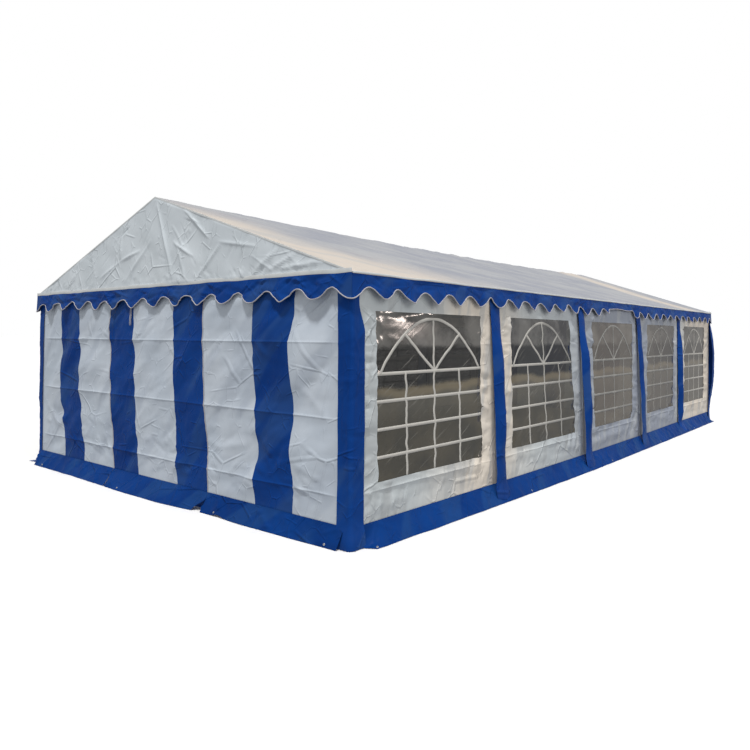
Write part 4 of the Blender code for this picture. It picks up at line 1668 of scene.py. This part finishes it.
@dataclass
class Skirt:
    """A blue skirt that runs down from the wall and out over the ground.

    end_end is the gap at a gable skirt's ends, at its top and what comes on at its edge;
    left_overrun how far the left skirt's edge runs past its front end, and out there;
    turned_up the place, the width and the height of a spot where the edge stands up.
    """
    wall: Wall
    finishes: Palette
    slit_start: float = 0.30
    left_mouth: float = 0.015
    right_mouth: float = 0.13
    door_half: float = 0.80
    drift: float = 0.030
    rows: int = 22
    top: float = 0.163
    corner_gap: float = 0.13
    side_end: float = 0.035
    end_end: Pair = (0.05, 0.03)
    left_overrun: Pair = (0.20, 0.085)
    end_places: tuple[float, ...] = (-2.5, -1.6, 0.6, 0.76, 1.4, 2.0, 2.5)
    end_reach: tuple[float, ...] = (0.10, 0.105, 0.104, 0.085, 0.092, 0.078, 0.068)
    turned_up: Triple = (1.06, 0.07, 0.020)
    eyelet_radius: float = 0.0065
    eyelet_depths: Pair = (0.90, 0.97)
    side_eyelets: tuple[float, ...] = (-4.82, -2.5, -0.4, 1.6, 3.5)
    end_eyelets: tuple[float, ...] = (-2.2, -0.5, 1.0, 2.3)
    cut_depth: float = 0.20
    lift: float = 0.0070
    first_seed: int = 600

    def reach(self, along: Array) -> Array:
        """How far the outer edge lies from the wall's plane."""
        if self.wall is Wall.LEFT:
            return side_reach(along) + self.left_overrun[1] * smooth(4.3, 5.0, along)
        if not self.wall.is_end:
            return side_reach(along)
        return through(self.end_places, np.array(self.end_reach), along)

    def surface(self, along: Array, depth: Array) -> tuple[Array, Array]:
        """Points at a depth from 0 at the top to 1 at the outer edge.

        Up falls from the wall to the ground along a slope with a rounded shoulder and a short
        foot, while the outward distance grows from the leaning wall to the reach. Creases and
        soft waves lift it off that line.
        """
        along, depth = np.broadcast_arrays(along, depth)
        seed = self.first_seed + self.wall.value
        start = self.lift
        if not self.wall.is_end:
            start = start + 0.5 * side_lean(along, 0.16)
        reach = self.reach(along)
        uneven = Ripples(seed, 0.7, 0.004, 0, 5, octaves=2).at(along, np.zeros_like(depth))
        outward = start + (reach + uneven - start) * np.clip(depth, 0, 1) ** 1.25
        up = self.top * (1 - depth) ** 0.92
        if not self.wall.is_end:
            hug = smooth(0.30, 0.10, TENT.half_length - np.abs(along))
            flat_foot = start + (reach - start) * np.clip((depth - 0.45) / 0.55, 0, 1)
            outward = outward + hug * (flat_foot - outward)
            up = up + hug * (self.top * np.clip(1 - depth / 0.6, 0, 1) - up)
        waves = Ripples(seed + 1, 0.30, 0.004, 0, 35, octaves=2).at(along, 2 * depth * 0.16)
        creases = scatter(seed + 2, 190, (-TENT.half_length, 0.02), (TENT.half_length, 0.18),
                          (0.06, 0.26), (15, 165), 0.012, (0.007, 0.014))
        lift = waves + Relief(creases=creases).outward(along, 0.18 * depth)
        lift = smooth(0.03, 0.25, depth) * smooth(1.05, 0.85, depth) * np.maximum(lift, -0.003)
        rise = np.maximum(up + 0.6 * lift, 0.0) + 0.0025
        if self.wall.is_end:
            place, width, height = self.turned_up
            bell = np.exp(-((along - place) / width) ** 2)
            rise = rise + height * bell * smooth(0.5, 1.0, depth)
        flat = pairs(along, -depth * self.cut_depth)
        return self.wall.place(along, rise, outward + 0.8 * lift), flat

    def piece(self, name: str, low: Array, high: Array) -> bpy.types.Object:
        """A stretch of skirt between two edges that may lean as they go down."""
        span = float(np.max(high) - np.min(low))
        share = np.linspace(0, 1, max(8, round(span / 0.022)))[None, :]
        depth = np.linspace(1, 0, self.rows)[:, None]
        along = low[::-1, None] + (high - low)[::-1, None] * share
        points, flat = self.surface(along, depth)
        cloth = build_mesh(name, points, flat, [self.finishes.skirt])
        wall = self.wall.label
        return cloth

    def eyelets(self, places: Sequence[float]) -> None:
        """Small metal rings set in the outer edge for pegs."""
        angle = np.linspace(0, 2 * math.pi, 20, endpoint=False)
        for count, place in enumerate(places):
            depth, lower = self.eyelet_depths
            spots, _ = self.surface(np.array([place, place, place + 0.01]),
                                    np.array([depth, lower, depth]))
            down = unit(spots[1] - spots[0])
            right = unit(spots[2] - spots[0])
            normal = unit(np.cross(down, right))
            ring = spots[0] + 0.0012 * normal + self.eyelet_radius * (
                np.cos(angle)[:, None] * right + np.sin(angle)[:, None] * down)
            name = f"eyelet_{self.wall.label}_{count + 1}"
            eyelet = swept(name, ring, normal, tape_profile(0.006, 0.0015), self.finishes.metal,
                           closed=True)
            dress(eyelet, Slot.STEEL)

    def make(self) -> None:
        """Side skirts are in one piece; end skirts part at the door's zips."""
        label = self.wall.label
        depth = np.linspace(0, 1, self.rows)
        opened = smooth(self.slit_start, 1.0, depth)
        if not self.wall.is_end:
            half = TENT.half_length - self.side_end - self.corner_gap * depth
            front = half + self.left_overrun[0] * depth if self.wall is Wall.LEFT else half
            whole = self.piece(f"skirt_cloth_{label}", -half, front)
            dress(whole, Slot.BLUE, f"skirt_{label}")
            self.eyelets(self.side_eyelets)
            return
        half = TENT.half_width - self.end_end[0] - self.end_end[1] * depth
        left = -self.door_half + self.drift
        right = self.door_half + self.drift
        pieces = [
            self.piece(f"skirt_cloth_{label}_left", -half, np.full_like(half, left - 0.004)),
            self.piece(f"skirt_cloth_{label}", left + self.left_mouth * opened,
                       right - self.right_mouth * opened),
            self.piece(f"skirt_cloth_{label}_right", right + 0.002 - 0.02 * opened, half),
        ]
        for piece in pieces:
            dress(piece, Slot.BLUE, f"skirt_{label}")
        self.eyelets(self.end_eyelets)


@dataclass
class SteelFrame:
    """The CAD frame keeps its shape and takes a galvanised finish."""
    finishes: Palette

    def make(self) -> None:
        """Gives each steel node its material."""
        for name in TENT.bent_names + ["ridge_tube", "eave_tube_right", "eave_tube_left"]:
            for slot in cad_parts[name].material_slots:
                slot.material = self.finishes.steel
            LOG.info("%s: galvanised", name)


@dataclass(frozen=True)
class Studio:
    """Floor, light and the camera at the photograph's angle, in pixels of a 750 by 750 picture."""
    picture: float = 750.0
    focal: float = 663.682
    axis_row: float = 335.79
    place: Triple = (5.6681, -8.5274, 1.5404)
    heading: float = 0.6963
    roll: float = 0.0053
    sensor: float = 36.0

    def camera(self) -> None:
        """A level camera, turned left of +Y, whose axis meets the picture above its middle."""
        forward = np.array([-math.sin(self.heading), math.cos(self.heading), 0.0])
        level = np.array([math.cos(self.heading), math.sin(self.heading), 0.0])
        upright = np.array([0.0, 0.0, 1.0])
        right = math.cos(self.roll) * level + math.sin(self.roll) * upright
        top = -math.sin(self.roll) * level + math.cos(self.roll) * upright
        data = bpy.data.cameras.new("camera")
        data.sensor_width = self.sensor
        data.lens = self.focal / self.picture * self.sensor
        data.shift_y = -(self.picture / 2 - self.axis_row) / self.picture
        data.clip_end = 1000
        eye = bpy.data.objects.new("camera", data)
        turn = Matrix(np.stack([right, top, -forward], axis=1).tolist()).to_4x4()
        eye.matrix_world = Matrix.Translation(self.place) @ turn
        bpy.context.scene.collection.objects.link(eye)
        bpy.context.scene.camera = eye

    @staticmethod
    def aimed(name: str, data: bpy.types.Light, back: Array, place: Triple) -> None:
        """Puts a lamp in the scene.

        Args:
            name: The lamp's name.
            data: Its light.
            back: The direction that it shines away from.
            place: Where it stands.
        """
        lamp = bpy.data.objects.new(name, data)
        side = unit(np.cross([0.0, 0.0, 1.0], back))
        turn = Matrix(np.stack([side, np.cross(back, side), back], axis=1).tolist()).to_4x4()
        lamp.matrix_world = Matrix.Translation(place) @ turn
        bpy.context.scene.collection.objects.link(lamp)

    def light(self, name: str, place: Triple, size: Pair, power: float, colour: Triple) -> None:
        """An area light that faces the tent's middle."""
        data = bpy.data.lights.new(name, "AREA")
        data.shape = "RECTANGLE"
        data.size, data.size_y = size
        data.energy = power
        data.color = colour
        self.aimed(name, data, unit(np.subtract(place, (0.0, 0.0, 1.0))), place)

    def sun(self, name: str, toward: Triple, strength: float, spread: float,
            colour: Triple) -> None:
        """An even, soft light from one direction, spread over an angle in degrees."""
        data = bpy.data.lights.new(name, "SUN")
        data.energy = strength
        data.angle = math.radians(spread)
        data.color = colour
        self.aimed(name, data, unit(np.array(toward)), (0.0, 0.0, 0.0))

    def floor(self) -> None:
        """A wide plain floor just under the ground plane, which throws no light on the tent."""
        sides = np.linspace(-400, 400, 3)
        x, y = np.meshgrid(sides, sides)
        made = Nodes("studio_floor")
        made.wire("Base Color", rgb(0.97, 0.97, 0.97))
        made.wire("Roughness", 0.9)
        made.wire("Specular IOR Level", 0.1)
        points = np.stack([x, y, np.full_like(x, -0.0008)], axis=-1)
        floor = build_mesh("studio_floor", points, pairs(x, y), [made.material])
        floor.visible_diffuse = False
        floor.visible_glossy = False

    def sky(self) -> None:
        """Plain white surroundings, less bright as light than as background."""
        world = bpy.data.worlds.new("studio")
        world.use_nodes = True
        tree = world.node_tree
        background = tree.nodes["Background"]
        path = tree.nodes.new("ShaderNodeLightPath")
        level = tree.nodes.new("ShaderNodeMapRange")
        tree.links.new(path.outputs["Is Camera Ray"], level.inputs["Value"])
        level.inputs["To Min"].default_value = 0.42
        level.inputs["To Max"].default_value = 1.0
        background.inputs["Color"].default_value = rgb(1.0, 1.0, 1.0)
        tree.links.new(level.outputs["Result"], background.inputs["Strength"])
        bpy.context.scene.world = world

    def make(self) -> None:
        """Sets up the studio."""
        self.floor()
        self.sky()
        self.camera()
        self.sun("key", (0.20, -0.34, 0.92), 2.3, 7, (1.0, 0.985, 0.96))
        self.sun("fill", (0.90, -0.12, 0.42), 0.60, 40, (1.0, 0.97, 0.93))
        self.light("softbox", (9.0, 3.85, 2.08), (0.50, 0.48), 25, (1.0, 0.85, 0.77))
        bpy.context.scene.view_settings.view_transform = "Standard"


def main() -> None:
    """Builds the tent and its studio."""
    logging.basicConfig(level=logging.INFO, format="%(name)s %(message)s")
    finishes = Palette.mixed()
    SteelFrame(finishes).make()
    RoofCover(finishes).make()
    for wall in Wall:
        Valance(wall, finishes).make()
    for wall in (Wall.FRONT, Wall.BACK):
        EndWall(wall, finishes).make()
    for wall in (Wall.RIGHT, Wall.LEFT):
        for number in range(1, TENT.bays + 1):
            WindowBay(wall, number, finishes).make()
        for number in range(1, TENT.bays):
            LegStrap(wall, number, finishes).make()
    for wall in Wall:
        Skirt(wall, finishes).make()
    for end in (Wall.FRONT, Wall.BACK):
        for side in (Side.RIGHT, Side.LEFT):
            CornerStrap(end, side, finishes, **CORNER_SHAPES.get((end, side), {})).make()
    Studio().make()


if __name__ == "__main__":
    main()
